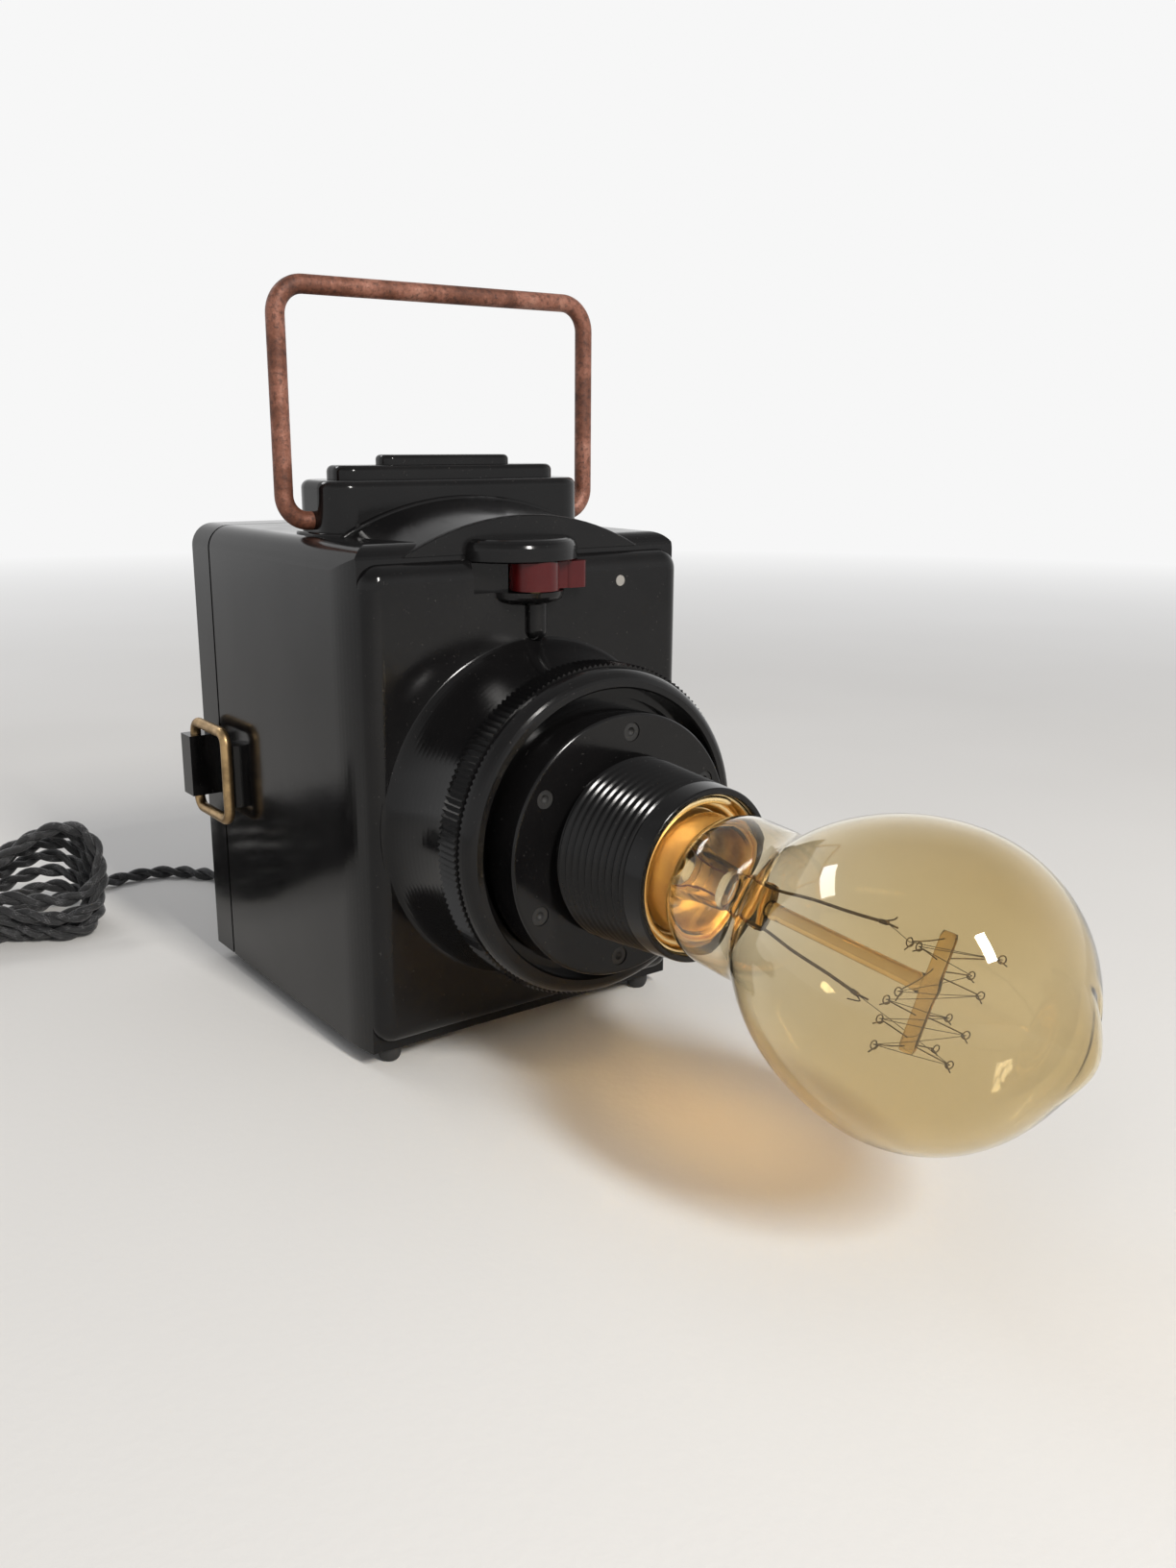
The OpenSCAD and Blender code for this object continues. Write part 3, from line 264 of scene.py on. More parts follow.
def plastic_material(name, low, high, rough, grain_scale=700, grain=0.00004, spec=0.5):
    """Moulded plastic, rubber or paint, from two close tones."""
    m = Nodes(name)
    m.set(Specular_IOR_Level=spec)
    cloud = m.noise(60, 4, 0.6)
    tone = m.ramp(cloud, [(0.32, low), (0.68, high)])
    gloss = m.span(cloud, 0.3, 0.7, rough, rough + 0.12)
    normal = m.bump(m.noise(grain_scale, 3, 0.6), grain, 0.6)
    return m.feed(Base_Color=tone, Roughness=gloss, Normal=normal)


def amber_glass_material():
    """Tinted bulb glass: nearly clear at the neck, amber over the round end."""
    m = Nodes("amber_glass")
    m.set(Transmission_Weight=1.0, IOR=1.47, Roughness=0.0)
    along = m.node("SeparateXYZ", {0: m.coords.outputs["UV"]}).outputs[1]
    cloud = m.noise(30, 3, 0.5)
    level = m.math("ADD", along, m.span(cloud, 0.3, 0.7, -0.03, 0.03))
    tint = m.ramp(level, [(0.10, (0.96, 0.93, 0.86)), (0.42, (0.86, 0.77, 0.57)),
                          (0.80, (0.81, 0.705, 0.48))])
    waves = m.bump(m.noise(26, 2, 0.5), 0.0005, 0.35)
    m.feed(Base_Color=tint, Normal=waves)
    shade = m.ramp(level, [(0.10, (0.66, 0.60, 0.49)), (0.42, (0.52, 0.40, 0.19)),
                           (0.80, (0.44, 0.30, 0.10))])
    return m.let_lamps_through(shade)


def inner_glass_material(name, low, high, bend):
    """Drawn glass of the stem and rod."""
    m = Nodes(name)
    m.set(Transmission_Weight=1.0, IOR=bend, Roughness=0.0)
    tint = m.ramp(m.noise(120, 3, 0.5), [(0.3, low), (0.7, high)])
    waves = m.bump(m.noise(160, 2, 0.5), 0.0003, 0.5)
    m.feed(Base_Color=tint, Normal=waves)
    return m.let_lamps_through(tint)


def braid_material():
    """Braided sleeve of one flex core. U runs round the core and V along it, in braid cells."""
    m = Nodes("textile_flex")
    m.set(Sheen_Weight=0.25, Sheen_Roughness=0.5)
    uv = m.node("SeparateXYZ", {0: m.coords.outputs["UV"]})
    u, v = uv.outputs[0], uv.outputs[1]
    left = m.math("SINE", m.math("MULTIPLY", m.math("ADD", u, v), math.pi))
    right = m.math("SINE", m.math("MULTIPLY", m.math("SUBTRACT", u, v), math.pi))
    weave = m.math("MAXIMUM", m.math("ABSOLUTE", left), m.math("ABSOLUTE", right))
    fuzz = m.noise(2500, 3, 0.6)
    level = m.math("ADD", m.span(weave, 0.6, 1.0, 0.0, 0.8), m.span(fuzz, 0.3, 0.7, 0.0, 0.2))
    fleck = m.span(m.noise(420, 2, 0.5), 0.50, 0.62, 0.55, 1.0)
    level = m.math("MULTIPLY", level, fleck)
    # The tone is lighter on the braid's crests and darker in its gaps: a painted sheen and painted
    # shade. The fuzz and the flecks are the thread's own uneven colour.
    tone = m.ramp(level, [(0.0, (0.0020, 0.0020, 0.0022)), (0.55, (0.010, 0.010, 0.011)),
                          (0.75, (0.035, 0.035, 0.037)), (1.0, (0.16, 0.16, 0.16))])
    gloss = m.span(weave, 0.6, 1.0, 0.75, 0.5)
    return m.feed(Base_Color=tone, Roughness=gloss, Normal=m.bump(level, 0.00018, 0.9))


def ceramic_material():
    m = Nodes("ceramic")
    m.set(Coat_Weight=0.5, Coat_Roughness=0.1)
    cloud = m.noise(80, 5, 0.6)
    tone = m.ramp(cloud, [(0.35, (0.62, 0.60, 0.54)), (0.65, (0.78, 0.76, 0.70))])
    return m.feed(Base_Color=tone, Roughness=m.span(cloud, 0.3, 0.7, 0.25, 0.45),
                  Normal=m.bump(m.noise(700, 3, 0.6), 0.00004, 0.5))


# Name, light tone, dark tone, roughness, then the scale and strength of the stains
METALS = [
    ("brass", (0.96, 0.73, 0.38), (0.78, 0.53, 0.24), 0.26),
    ("aged_brass", (0.50, 0.34, 0.17), (0.12, 0.075, 0.04), 0.3, 120, 0.85),
    ("cement", (0.93, 0.66, 0.30), (0.66, 0.40, 0.14), 0.36, 260, 0.6),
    ("solder", (0.62, 0.62, 0.60), (0.30, 0.29, 0.27), 0.35),
    ("support_wire", (0.16, 0.13, 0.10), (0.06, 0.05, 0.04), 0.4, 300),
    ("copper", (0.42, 0.19, 0.12), (0.20, 0.08, 0.05), 0.4, 300),
    ("tungsten", (0.10, 0.09, 0.085), (0.05, 0.045, 0.04), 0.45, 300),
    ("nickel", (0.72, 0.69, 0.64), (0.45, 0.42, 0.38), 0.16, 90),
]
# Name, dark tone, light tone, roughness, then the scale and depth of the grain, and the gloss
PLASTICS = [
    ("rubber", (0.010, 0.010, 0.010), (0.022, 0.021, 0.020), 0.55, 1100, 0.00008),
    ("lever_plastic", (0.052, 0.003, 0.004), (0.085, 0.006, 0.006), 0.16, 700, 0.00004, 0.3),
    ("white_paint", (0.20, 0.19, 0.17), (0.32, 0.30, 0.27), 0.4),
    ("phenolic", (0.075, 0.032, 0.013), (0.13, 0.06, 0.026), 0.4),
    ("black_glass", (0.004, 0.004, 0.005), (0.010, 0.010, 0.012), 0.06),
    ("plug_plastic", (0.010, 0.010, 0.011), (0.020, 0.020, 0.021), 0.38, 900),
]
MATERIALS = {
    "bakelite": bakelite_material("bakelite"),
    "bakelite_satin": bakelite_material("bakelite_satin", 0.13, 0.7),
    "rusty_wire": rust_material(),
    "ceramic": ceramic_material(),
    "amber_glass": amber_glass_material(),
    "clear_glass": inner_glass_material("clear_glass", (0.95, 0.91, 0.83), (0.98, 0.96, 0.91), 1.3),
    "rod_glass": inner_glass_material("rod_glass", (0.68, 0.49, 0.23), (0.80, 0.62, 0.35), 1.5),
    "textile_flex": braid_material(),
}
MATERIALS.update((row[0], metal_material(*row)) for row in METALS)
MATERIALS.update((row[0], plastic_material(*row)) for row in PLASTICS)

NODE_MATERIALS = {
    "bakelite": ["housing", "rear_cover", "lens_ring", "adapter_disc", "lampholder_cap"],
    "bakelite_satin": ["lampholder_shell", "lampholder_nut"],
    "rubber": ["cover_seal", "front_feet", "rear_feet", "lens_gasket", "disc_plugs", "cord_gland"],
    "rusty_wire": ["handle"],
    "brass": ["switch_spindle", "switch_contacts", "wire_nipple", "screw_shell",
              "centre_contact", "terminal_screws", "bulb_cap"],
    "aged_brass": ["latch_left", "latch_right"],
    "lever_plastic": ["switch_lever"],
    "white_paint": ["position_dot"],
    "phenolic": ["switch_block"],
    "ceramic": ["ceramic_insert"],
    "solder": ["cap_contact"],
    "black_glass": ["cap_insulator"],
    "plug_plastic": ["plug_body"],
    "nickel": ["plug_pins"],
}


def dress_nodes():
    for material, names in NODE_MATERIALS.items():
        for name in names:
            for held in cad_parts[name].material_slots:
                held.material = MATERIALS[material]


# ---------------------------------------------------------------- mesh helpers
def add_mesh(name, points, faces, material, body, uvs=None):
    """Smooth mesh piece from points in metres. uvs has one pair per point."""
    mesh = bpy.data.meshes.new(name)
    mesh.from_pydata(points, [], faces)
    mesh.polygons.foreach_set("use_smooth", [True] * len(mesh.polygons))
    mesh.materials.append(MATERIALS[material])
    if uvs:
        layer = mesh.uv_layers.new(name="UVMap")
        for loop in mesh.loops:
            layer.data[loop.index].uv = uvs[loop.vertex_index]
    made = bpy.data.objects.new(name, mesh)
    bpy.context.scene.collection.objects.link(made)
    if body:
        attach(made, body)
    return made


def revolve(profile, matrix, segments, lift=None):
    """Points, faces and uvs of a closed loop of (radius, height) turned about z.

    V is the height. lift gives an offset in height for a radius, height and angle.
    """
    points, faces, uvs, rings = [], [], [], []
    low = min(z for _, z in profile)
    high = max(z for _, z in profile)
    for radius, height in profile:
        if radius < 1e-6:
            rings.append([len(points)] * segments)
            points.append(matrix @ Vector((0, 0, height)))
            uvs.append((0.5, (height - low) / (high - low)))
            continue
        rings.append(list(range(len(points), len(points) + segments)))
        for k in range(segments):
            angle = 2 * math.pi * k / segments
            at = height + (lift(radius, height, angle) if lift else 0.0)
            x, y = radius * math.cos(angle), radius * math.sin(angle)
            points.append(matrix @ Vector((x, y, at)))
            uvs.append((k / segments, (height - low) / (high - low)))
    for a, b in zip(rings, rings[1:] + rings[:1]):
        for k in range(segments):
            n = (k + 1) % segments
            corners = [a[k], a[n], b[n], b[k]]
            face = [c for i, c in enumerate(corners) if c not in corners[:i]]
            if len(face) > 2:
                faces.append(face)
    return points, faces, uvs


def frames_along(line):
    """A steady pair of cross directions at each point of a line."""
    tangents = []
    for i in range(len(line)):
        tangents.append((line[min(i + 1, len(line) - 1)] - line[max(i - 1, 0)]).normalized())
    start = Vector((0, 0, 1)) if abs(tangents[0].z) < 0.9 else Vector((0, 1, 0))
    side = tangents[0].cross(start).normalized()
    pairs = []
    for tangent in tangents:
        side = (side - tangent * side.dot(tangent)).normalized()
        pairs.append((side, tangent.cross(side)))
    return pairs


# A braid cell's length in metres, and the cells round one core
BRAID_CELL = 0.001
BRAID_ROUND = 8


def sweep(line, radius, sides):
    """Closed tube along a line, in the line's own units. radius is a number or one per point."""
    radii = radius if isinstance(radius, (list, tuple)) else [radius] * len(line)
    points, faces, uvs = [], [], []
    travelled = 0.0
    for i, (at, (side, lift)) in enumerate(zip(line, frames_along(line))):
        if i:
            travelled += (at - line[i - 1]).length
        for k in range(sides):
            angle = 2 * math.pi * k / sides
            points.append(at + radii[i] * (math.cos(angle) * side + math.sin(angle) * lift))
            uvs.append((BRAID_ROUND * k / sides, travelled / BRAID_CELL))
    for i in range(len(line) - 1):
        for k in range(sides):
            n = (k + 1) % sides
            faces.append([i * sides + k, i * sides + n, (i + 1) * sides + n, (i + 1) * sides + k])
    faces.append(list(range(sides))[::-1])
    last = (len(line) - 1) * sides
    faces.append(list(range(last, last + sides)))
    return points, faces, uvs


def joined(parts):
    points, faces, uvs = [], [], []
    for p, f, u in parts:
        faces += [[c + len(points) for c in face] for face in f]
        points += p
        uvs += u
    return points, faces, uvs


def spline(route, steps):
    """Smooth curve through a list of points, the same one that the solids follow."""
    p = [Vector(q) for q in route]
    line = []
    for i in range(len(p) - 1):
        a, b, c, d = p[max(i - 1, 0)], p[i], p[i + 1], p[min(i + 2, len(p) - 1)]
        for k in range(steps):
            t = k / steps
            line.append(0.5 * (2 * b + (c - a) * t + (2 * a - 5 * b + 4 * c - d) * t ** 2
                               + (3 * b - a - 3 * c + d) * t ** 3))
    return line + [p[-1]]


def length_of(line):
    return sum((b - a).length for a, b in zip(line, line[1:]))


# ---------------------------------------------------------------- cord
FLEX_R = 2.15
TABLE_GAP = 0.05
CORD_Z = FLEX_R - FOOT_H + TABLE_GAP
LEAD_ROUTE = [(-14, 88.6, 16), (-14, 98, 16), (-14, 110, 16), (-14, 122, 15.4), (-14.2, 132, 12),
              (-15, 141, 6), (-17, 150, 0.6), (-21, 158, CORD_Z), (-27, 166, CORD_Z),
              (-35, 172, CORD_Z), (-46, 173, CORD_Z), (-57, 170, CORD_Z), (-67, 165.5, CORD_Z),
              (-74, 162, CORD_Z)]
TAIL_ROUTE = [(-169, 157, 6), (-177, 159, 4), (-186, 162, 0.6), (-194, 167, CORD_Z),
              (-199, 174.5, CORD_Z), (-199, 183, CORD_Z), (-193, 190, -1.4), (-184, 193, 1.2),
              (-175, 193, 2.7)]
ROUTE_STEPS = 6
LINE_STEP = 1.3
HANK_MID_X = -116.0
HANK_HALF = 51.3
HANK_STEPS = 44
# Angles round the first and last turn at which the lead comes in and the tail goes out
HANK_IN = 58
HANK_OUT = 152
TURNS = 7
LOBE_SWELL = 1.12
# Place (y, height over the lowest strand) of each turn's two strands, in the hank's narrow middle
# and in its lobes
REAR_TIED = [(151, 0), (149, 4.4), (151.2, 8.8), (149.2, 13.2), (147.2, 17.6), (143, 20.5),
             (142.8, 15.8)]
FRONT_TIED = [(146.3, 0), (141.6, 0), (144.3, 4.2), (139.6, 4.4), (142, 8.6), (144.5, 12.8),
              (139.9, 13)]
REAR_RUNS = [(165, 0), (163, 5.6), (160.5, 11.6), (157, 17.4), (152.5, 22.8), (147, 27.6),
             (141, 31)]
FRONT_RUNS = [(139, 0), (134, 0), (129, 0), (132.5, 5), (127.3, 5.4), (130.6, 10.2), (126, 11.6)]


def strand(table, turns):
    """Point of a turn's strand, from the table of all turns."""
    y, z = table[min(max(math.floor(turns + 0.5), 0), len(table) - 1)]
    return Vector((0, y, CORD_Z + z))


def hank_line():
    """Turns of a hank: two lobes that fan out on either side of its narrow middle."""
    last = 360 * (TURNS - 1) + HANK_OUT
    count = int((last - HANK_IN) / 360 * HANK_STEPS)
    line = []
    for i in range(count + 1):
        angle = HANK_IN + (last - HANK_IN) * i / count
        rear, front = (angle - 90) / 360, (angle - 270) / 360
        c, s = math.cos(math.radians(angle)), math.sin(math.radians(angle))
        out = c * c * (3 - 2 * abs(c))
        tied_rear, tied_front = strand(REAR_TIED, rear), strand(FRONT_TIED, front)
        run_rear, run_front = strand(REAR_RUNS, rear), strand(FRONT_RUNS, front)
        tied = (tied_rear + tied_front) / 2 + (tied_rear - tied_front) / 2 * s
        lobe = (run_rear + run_front) / 2 + (run_rear - run_front) * LOBE_SWELL * s * abs(c)
        at = tied.lerp(lobe, out)
        at.x = HANK_MID_X + HANK_HALF * c
        line.append(at)
    return line


def resample(line, step):
    """The same curve with points a fixed step apart."""
    total = length_of(line)
    count = max(2, round(total / step))
    result, travelled, i = [line[0]], 0.0, 0
    for k in range(1, count):
        target = total * k / count
        while travelled + (line[i + 1] - line[i]).length < target:
            travelled += (line[i + 1] - line[i]).length
            i += 1
        part = (target - travelled) / (line[i + 1] - line[i]).length
        result.append(line[i].lerp(line[i + 1], part))
    return result + [line[-1]]


def smooth_line(line, rounds):
    for _ in range(rounds):
        inner = [(a + 2 * b + c) / 4 for a, b, c in zip(line, line[1:], line[2:])]
        line = [line[0]] + inner + [line[-1]]
    return line


CORE_R = 1.09
CORE_SINK = 0.03
TWIST_PITCH = 15.0


def twisted_pair(line):
    """Two braided cores twisted about a line, in metres."""
    pairs = frames_along(line)
    cores = [[], []]
    travelled = 0.0
    for i, (at, (side, lift)) in enumerate(zip(line, pairs)):
        if i:
            travelled += (at - line[i - 1]).length
        angle = 2 * math.pi * travelled / (TWIST_PITCH * MM)
        offset = (CORE_R - CORE_SINK) * MM * (math.cos(angle) * side + math.sin(angle) * lift)
        cores[0].append(at + offset)
        cores[1].append(at - offset)
    return joined([sweep(core, CORE_R * MM, 8) for core in cores])


def add_cord():
    parts = [spline(LEAD_ROUTE, ROUTE_STEPS), hank_line(), spline(TAIL_ROUTE, ROUTE_STEPS)]
    line = [CASE @ Vector(p) for part in parts for p in part]
    line = resample(smooth_line(resample(line, 2.0 * MM), 3), LINE_STEP * MM)
    points, faces, uvs = twisted_pair(line)
    cord = add_mesh("cord", points, faces, "textile_flex", "rear_cover", uvs)
    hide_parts("cord_lead", "cord_hank", "cord_tail")


FLEX_INSIDE = [(-14, 88.2, 16), (-14, 78, 15.6), (-13.8, 68, 12), (-13, 56, 8), (-10, 43, 9.5),
               (-6.5, 31, 20), (-4, 21, 37), (-2.8, 13, 49), (-2.4, 7, 53.2), (-2.3, 1.9, 53.9)]


def add_inner_flex():
    line = resample([CASE @ p for p in spline(FLEX_INSIDE, ROUTE_STEPS)], LINE_STEP * MM)
    points, faces, uvs = twisted_pair(line)
    flex = add_mesh("inner_flex_braid", points, faces, "textile_flex", None, uvs)
    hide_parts("inner_flex")
    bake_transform(flex)


# ---------------------------------------------------------------- bulb
BULB_R = 30.0
BULB_REACH = 62.0
NECK_R = 16.3
NECK_START_R = 12.2
NECK_RISE = 15.5
SKIRT_R = 13.25
SKIRT_RISE = 8.8
SHOULDER_R = 47.0
THROAT_R = 12.0
TIP_H = 3.9
TIP_R = 8.2
GLASS_T = 0.6
# The pinch beside the tip: radius, depth, widths outside and inside it, and its side and spread
# in degrees
DENT_R = 11.4
DENT_DEPTH = 0.9
DENT_OUTSIDE = 1.0
DENT_INSIDE = 2.2
DENT_SIDE = 20.0
DENT_SPREAD = 34


def tip_rise(radius):
    """Height of the sealed tip over the round end."""
    return TIP_H * math.exp(-(radius / TIP_R) ** 2)


def tip_dent(radius, height, angle):
    """The pinch at the foot of the sealed tip, on one side of it."""
    if height < BULB_REACH:
        return 0.0
    width = DENT_OUTSIDE if radius > DENT_R else DENT_INSIDE
    off_side = (math.degrees(angle) - DENT_SIDE + 180) % 360 - 180
    fall = -((radius - DENT_R) / width) ** 2 - (off_side / DENT_SPREAD) ** 2
    return -DENT_DEPTH * math.exp(fall)


def glass_side(t):
    """Half outline of the bulb from the cap to the sealed tip, moved in by t."""
    throat_y = NECK_R + THROAT_R
    shoulder_y = BULB_R - SHOULDER_R
    throat_z = BULB_REACH - math.sqrt((SHOULDER_R + THROAT_R) ** 2 - (throat_y - shoulder_y) ** 2)
    bend = math.atan2(BULB_REACH - throat_z, throat_y - shoulder_y)
    side = [(NECK_START_R - t, -5.0), (NECK_START_R - t, SKIRT_RISE - 2)]
    for i in range(1, 19):
        a = math.pi * i / 36
        side.append((NECK_START_R + (NECK_R - NECK_START_R) * math.sin(a) ** 1.2 - t,
                     SKIRT_RISE - 1 + (NECK_RISE - SKIRT_RISE + 1) * (1 - math.cos(a))))
    for i in range(15):
        a, r = bend * i / 14, THROAT_R + t
        side.append((throat_y - r * math.cos(a), throat_z + r * math.sin(a)))
    for i in range(1, 25):
        a, r = bend * (1 - i / 24), SHOULDER_R - t
        side.append((shoulder_y + r * math.cos(a), BULB_REACH - r * math.sin(a)))
    for i in range(1, 91):
        a = math.pi / 2 * i / 90
        radius = max((BULB_R - t) * math.cos(a), 0)
        side.append((radius, BULB_REACH + (BULB_R - t) * math.sin(a) + tip_rise(radius)))
    return side


def add_glass():
    outer = glass_side(0.0)
    inner = glass_side(GLASS_T)
    points, faces, uvs = revolve(outer + inner[::-1], GLASS, 144, tip_dent)
    glass = add_mesh("bulb_envelope", points, faces, "amber_glass", "bulb", uvs)
    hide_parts("bulb_glass")


SKIRT_T = 0.3
CEMENT_GAP = 0.05


def add_cap_collar():
    """Thin collar of the cap round the end of the neck, and the cement that fills it."""
    top, r, bore = SKIRT_RISE, SKIRT_R, SKIRT_R - SKIRT_T
    skirt = [(r, -0.6), (r, 2.0), (r + 0.25, 2.6), (r + 0.25, 3.2), (r, 3.8), (r, top - 1.6),
             (r + 0.15, top - 0.7), (r + 0.35, top - 0.15), (r + 0.2, top),
             (bore + 0.1, top - 0.4), (bore, top - 1.4), (bore, -0.6)]
    points, faces, _ = revolve(skirt, GLASS, 96)
    add_mesh("cap_collar", points, faces, "brass", "bulb")
    outside = [(bore - CEMENT_GAP, z) for z in (-5.8, -3.0, 0.5, 4.0, top - 1.0)]
    inside = [(12.35, top - 0.7), (12.3, 4.0), (12.28, 0.0), (12.28, -5.1), (11.8, -5.25),
              (8.0, -5.0), (4.5, -4.4), (3.4, -4.2), (3.4, -5.8)]
    points, faces, _ = revolve(outside + inside, GLASS, 96)
    add_mesh("cap_cement", points, faces, "cement", "bulb")


# The turns' angle at the mouth and how far they wind inwards, in degrees, then their place
TURN_FROM = 58.0
TURN_SWEEP = 610.0
TURN_PITCH = 3.0
TURN_Z = 24.0
TURN_R = 16.15
TURN_NARROWING = 1.9
TURN_GIRTH = 0.95
TURN_STEPS = 120


def add_shell_turns():
    """Rolled last turns of the screw shell that show inside the mouth, ending in a rounded tab."""
    line, girth = [], []
    for i in range(TURN_STEPS + 1):
        t = i / TURN_STEPS
        angle = math.radians(TURN_FROM + TURN_SWEEP * t)
        radius = TURN_R - TURN_NARROWING * t
        height = TURN_Z - TURN_PITCH * TURN_SWEEP * t / 360
        line.append(Vector((radius * math.cos(angle), radius * math.sin(angle), height)))
        round_off = math.sqrt(max(0.0, 1 - (1 - min(t * TURN_STEPS / 3, 1)) ** 2)) + 0.05
        girth.append(TURN_GIRTH * min(1.0, round_off))
    points, faces, _ = sweep(line, girth, 16)
    turns = add_mesh("shell_turns", [HOLDER @ p for p in points], faces, "brass", "body")


# Closed outline (radius, height) of the flare and tube
FLARE = [(3.0, -4.0), (10.6, -4.0), (10.4, -3.1), (8.6, -1.2), (6.9, 1.2), (5.7, 4.5), (5.1, 8.5),
         (4.7, 13.5), (3.9, 15.5), (2.6, 16.0), (3.2, 13.5), (4.0, 10.0), (4.1, 5.5), (4.6, 2.5),
         (5.3, 0.2), (5.6, -2.6), (3.0, -3.2)]
# Height, half width and half depth of each section of the pressed end
PRESS = [(13.0, 3.6, 3.6), (15.5, 3.9, 3.1), (18.0, 4.4, 2.5), (20.5, 4.9, 2.1), (22.5, 5.1, 2.0),
         (23.7, 4.9, 1.8), (24.2, 4.3, 1.3)]
PRESS_SIDES = 28


def press_mesh():
    """Loft of the pressed end's sections, with a closed face at each end."""
    count, rows = PRESS_SIDES, len(PRESS)
    points, faces = [], []
    for height, wide, deep in PRESS:
        for k in range(count):
            a = 2 * math.pi * k / count
            c, s = math.cos(a), math.sin(a)
            points.append(ROLL @ Vector((deep * math.copysign(abs(c) ** 0.7, c),
                                         wide * math.copysign(abs(s) ** 0.8, s), height)))
    for r in range(rows - 1):
        for k in range(count):
            low, high, n = r * count, (r + 1) * count, (k + 1) % count
            faces.append([low + k, low + n, high + n, high + k])
    faces.append(list(range(count))[::-1])
    faces.append(list(range((rows - 1) * count, rows * count)))
    return points, faces, [(0, 0)] * len(points)


def add_stem():
    """Flare, tube and pressed end that carry the wires."""
    points, faces, _ = joined([revolve(FLARE, ROLL, 48), press_mesh()])
    stem = add_mesh("stem_glass", points, faces, "clear_glass", "bulb")
    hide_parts("bulb_stem")


ROD_R = 1.75
BAR_R = 1.6
BAR_TOP = 10.6
BAR_LOW = -12.4
# Gap at the press, and what the rod falls short of the bar's axis with it
ROD_GAP = 0.1
ROD_SHORT = 1.45
ARBOR_STEPS = 24
# Swellings of glass at the rod's ends and round the joint on the bar, and the bar's narrower ends
ROD_SWELL = 0.3
JOINT_SWELL = 0.35
JOINT_STEP = 13
END_NARROWING = 0.25


def add_arbor():
    """Glass rod with a fused cross bar."""
    last = ARBOR_STEPS
    rod, swell, bar, girth = [], [], [], []
    for i in range(last + 1):
        rod.append(Vector((0, 0, PRESS_END + ROD_GAP + (ROD_LEN - ROD_SHORT) * i / last)))
        swell.append(ROD_R + ROD_SWELL * math.exp(-(i - last) ** 2) + ROD_SWELL * math.exp(-i ** 2))
        bar.append(Vector((0, BAR_LOW + (BAR_TOP - BAR_LOW) * i / last, PRESS_END + ROD_LEN)))
        joint = JOINT_SWELL * math.exp(-((i - JOINT_STEP) / 1.5) ** 2)
        girth.append(BAR_R + joint - (END_NARROWING if i in (0, last) else 0))
    points, faces, _ = joined([sweep(rod, swell, 24), sweep(bar, girth, 24)])
    arbor = add_mesh("arbor_glass", [ROLL @ p for p in points], faces, "rod_glass", "bulb")
    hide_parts("glass_arbor")


# Hooks of the filament: place of the root along the bar, then the loop's place along the bar,
# off to the side and forward
HOOKS = [
    (9.3, (7.1, -8.5, -2.1)), (5.3, (6.8, -6.6, -1.2)), (-5.4, (-3.9, -8.5, -2.4)),
    (3.5, (-2.0, -6.8, -1.8)), (-9.7, (-7.5, -8.5, -2.3)), (-11.3, (-12.1, -8.5, -1.6)),
    (5.7, (8.8, 9.0, 6.4)), (2.3, (1.2, 9.0, 5.0)), (3.2, (4.1, 7.0, 3.0)),
    (-5.3, (-6.5, 9.0, 5.1)), (-5.3, (-4.6, 6.5, 2.1)), (-11.1, (-12.8, 9.0, 4.2)),
    (-11.1, (-10.8, 6.5, 1.9)),
]
HOOK_R = 0.13
HOOK_ROOT = 0.4
HOOK_BOW = 0.35
LOOP_R = 0.78
LOOP_STEPS = 14
LOOP_LEAD = 0.03


def hook_points(root_u, tip):
    """One wire: out of the bar, then a loop and a short tail."""
    u, n, z = tip
    away = Vector((n, u - root_u, z)).normalized()
    side = Vector((0, 1, 0)).cross(away).normalized()
    across = away.cross(side).normalized()
    root = Vector((math.copysign(BAR_R - HOOK_ROOT, n), root_u, 0))
    end = Vector((n, u, z))
    start = end - away * LOOP_R
    line = [root.lerp(start, i / 8) + side * HOOK_BOW * math.sin(math.pi * i / 8) for i in range(9)]
    for k in range(1, LOOP_STEPS + 1):
        a = 2 * math.pi * k / LOOP_STEPS
        turned = across * LOOP_R * math.sin(a)
        line.append(end - away * LOOP_R * math.cos(a) + turned + side * LOOP_LEAD * k)
    line.append(line[-1] - across * 1.3 + away * 1.9)
    return line


def add_hooks():
    parts = [sweep(hook_points(root, tip), HOOK_R, 8) for root, tip in HOOKS]
    points, faces, _ = joined(parts)
    hooks = add_mesh("filament_hooks", [BAR @ p for p in points], faces, "support_wire", "bulb")
    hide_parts("filament_supports")


# Where the leads stand in the press and just beyond it, off its middle
LEAD_ROOT = 3.9
LEAD_NECK = 4.3
LEAD_R = 0.33
TAIL_R = 0.28
# Place of each lead's end across the stem and along it
LEAD_ENDS = ((7.4, 50.6), (-7.2, 50.0))
NIP_SWELL = 1.45


def add_stem_wires():
    """The leads' copper tails, from the pressed end down through the flare into the cap."""
    parts = []
    for side in (1, -1):
        route = [(0, side * LEAD_ROOT, 20.5), (0.1, side * 3.6, 15), (0.5, side * 2.6, 9),
                 (0.9, side * 3.1, 3), (1.2, side * 5.4, -3.5)]
        parts.append(sweep(spline(route, 6), TAIL_R, 8))
    points, faces, _ = joined(parts)
    tails = add_mesh("stem_wires", [ROLL @ p for p in points], faces, "copper", "bulb")


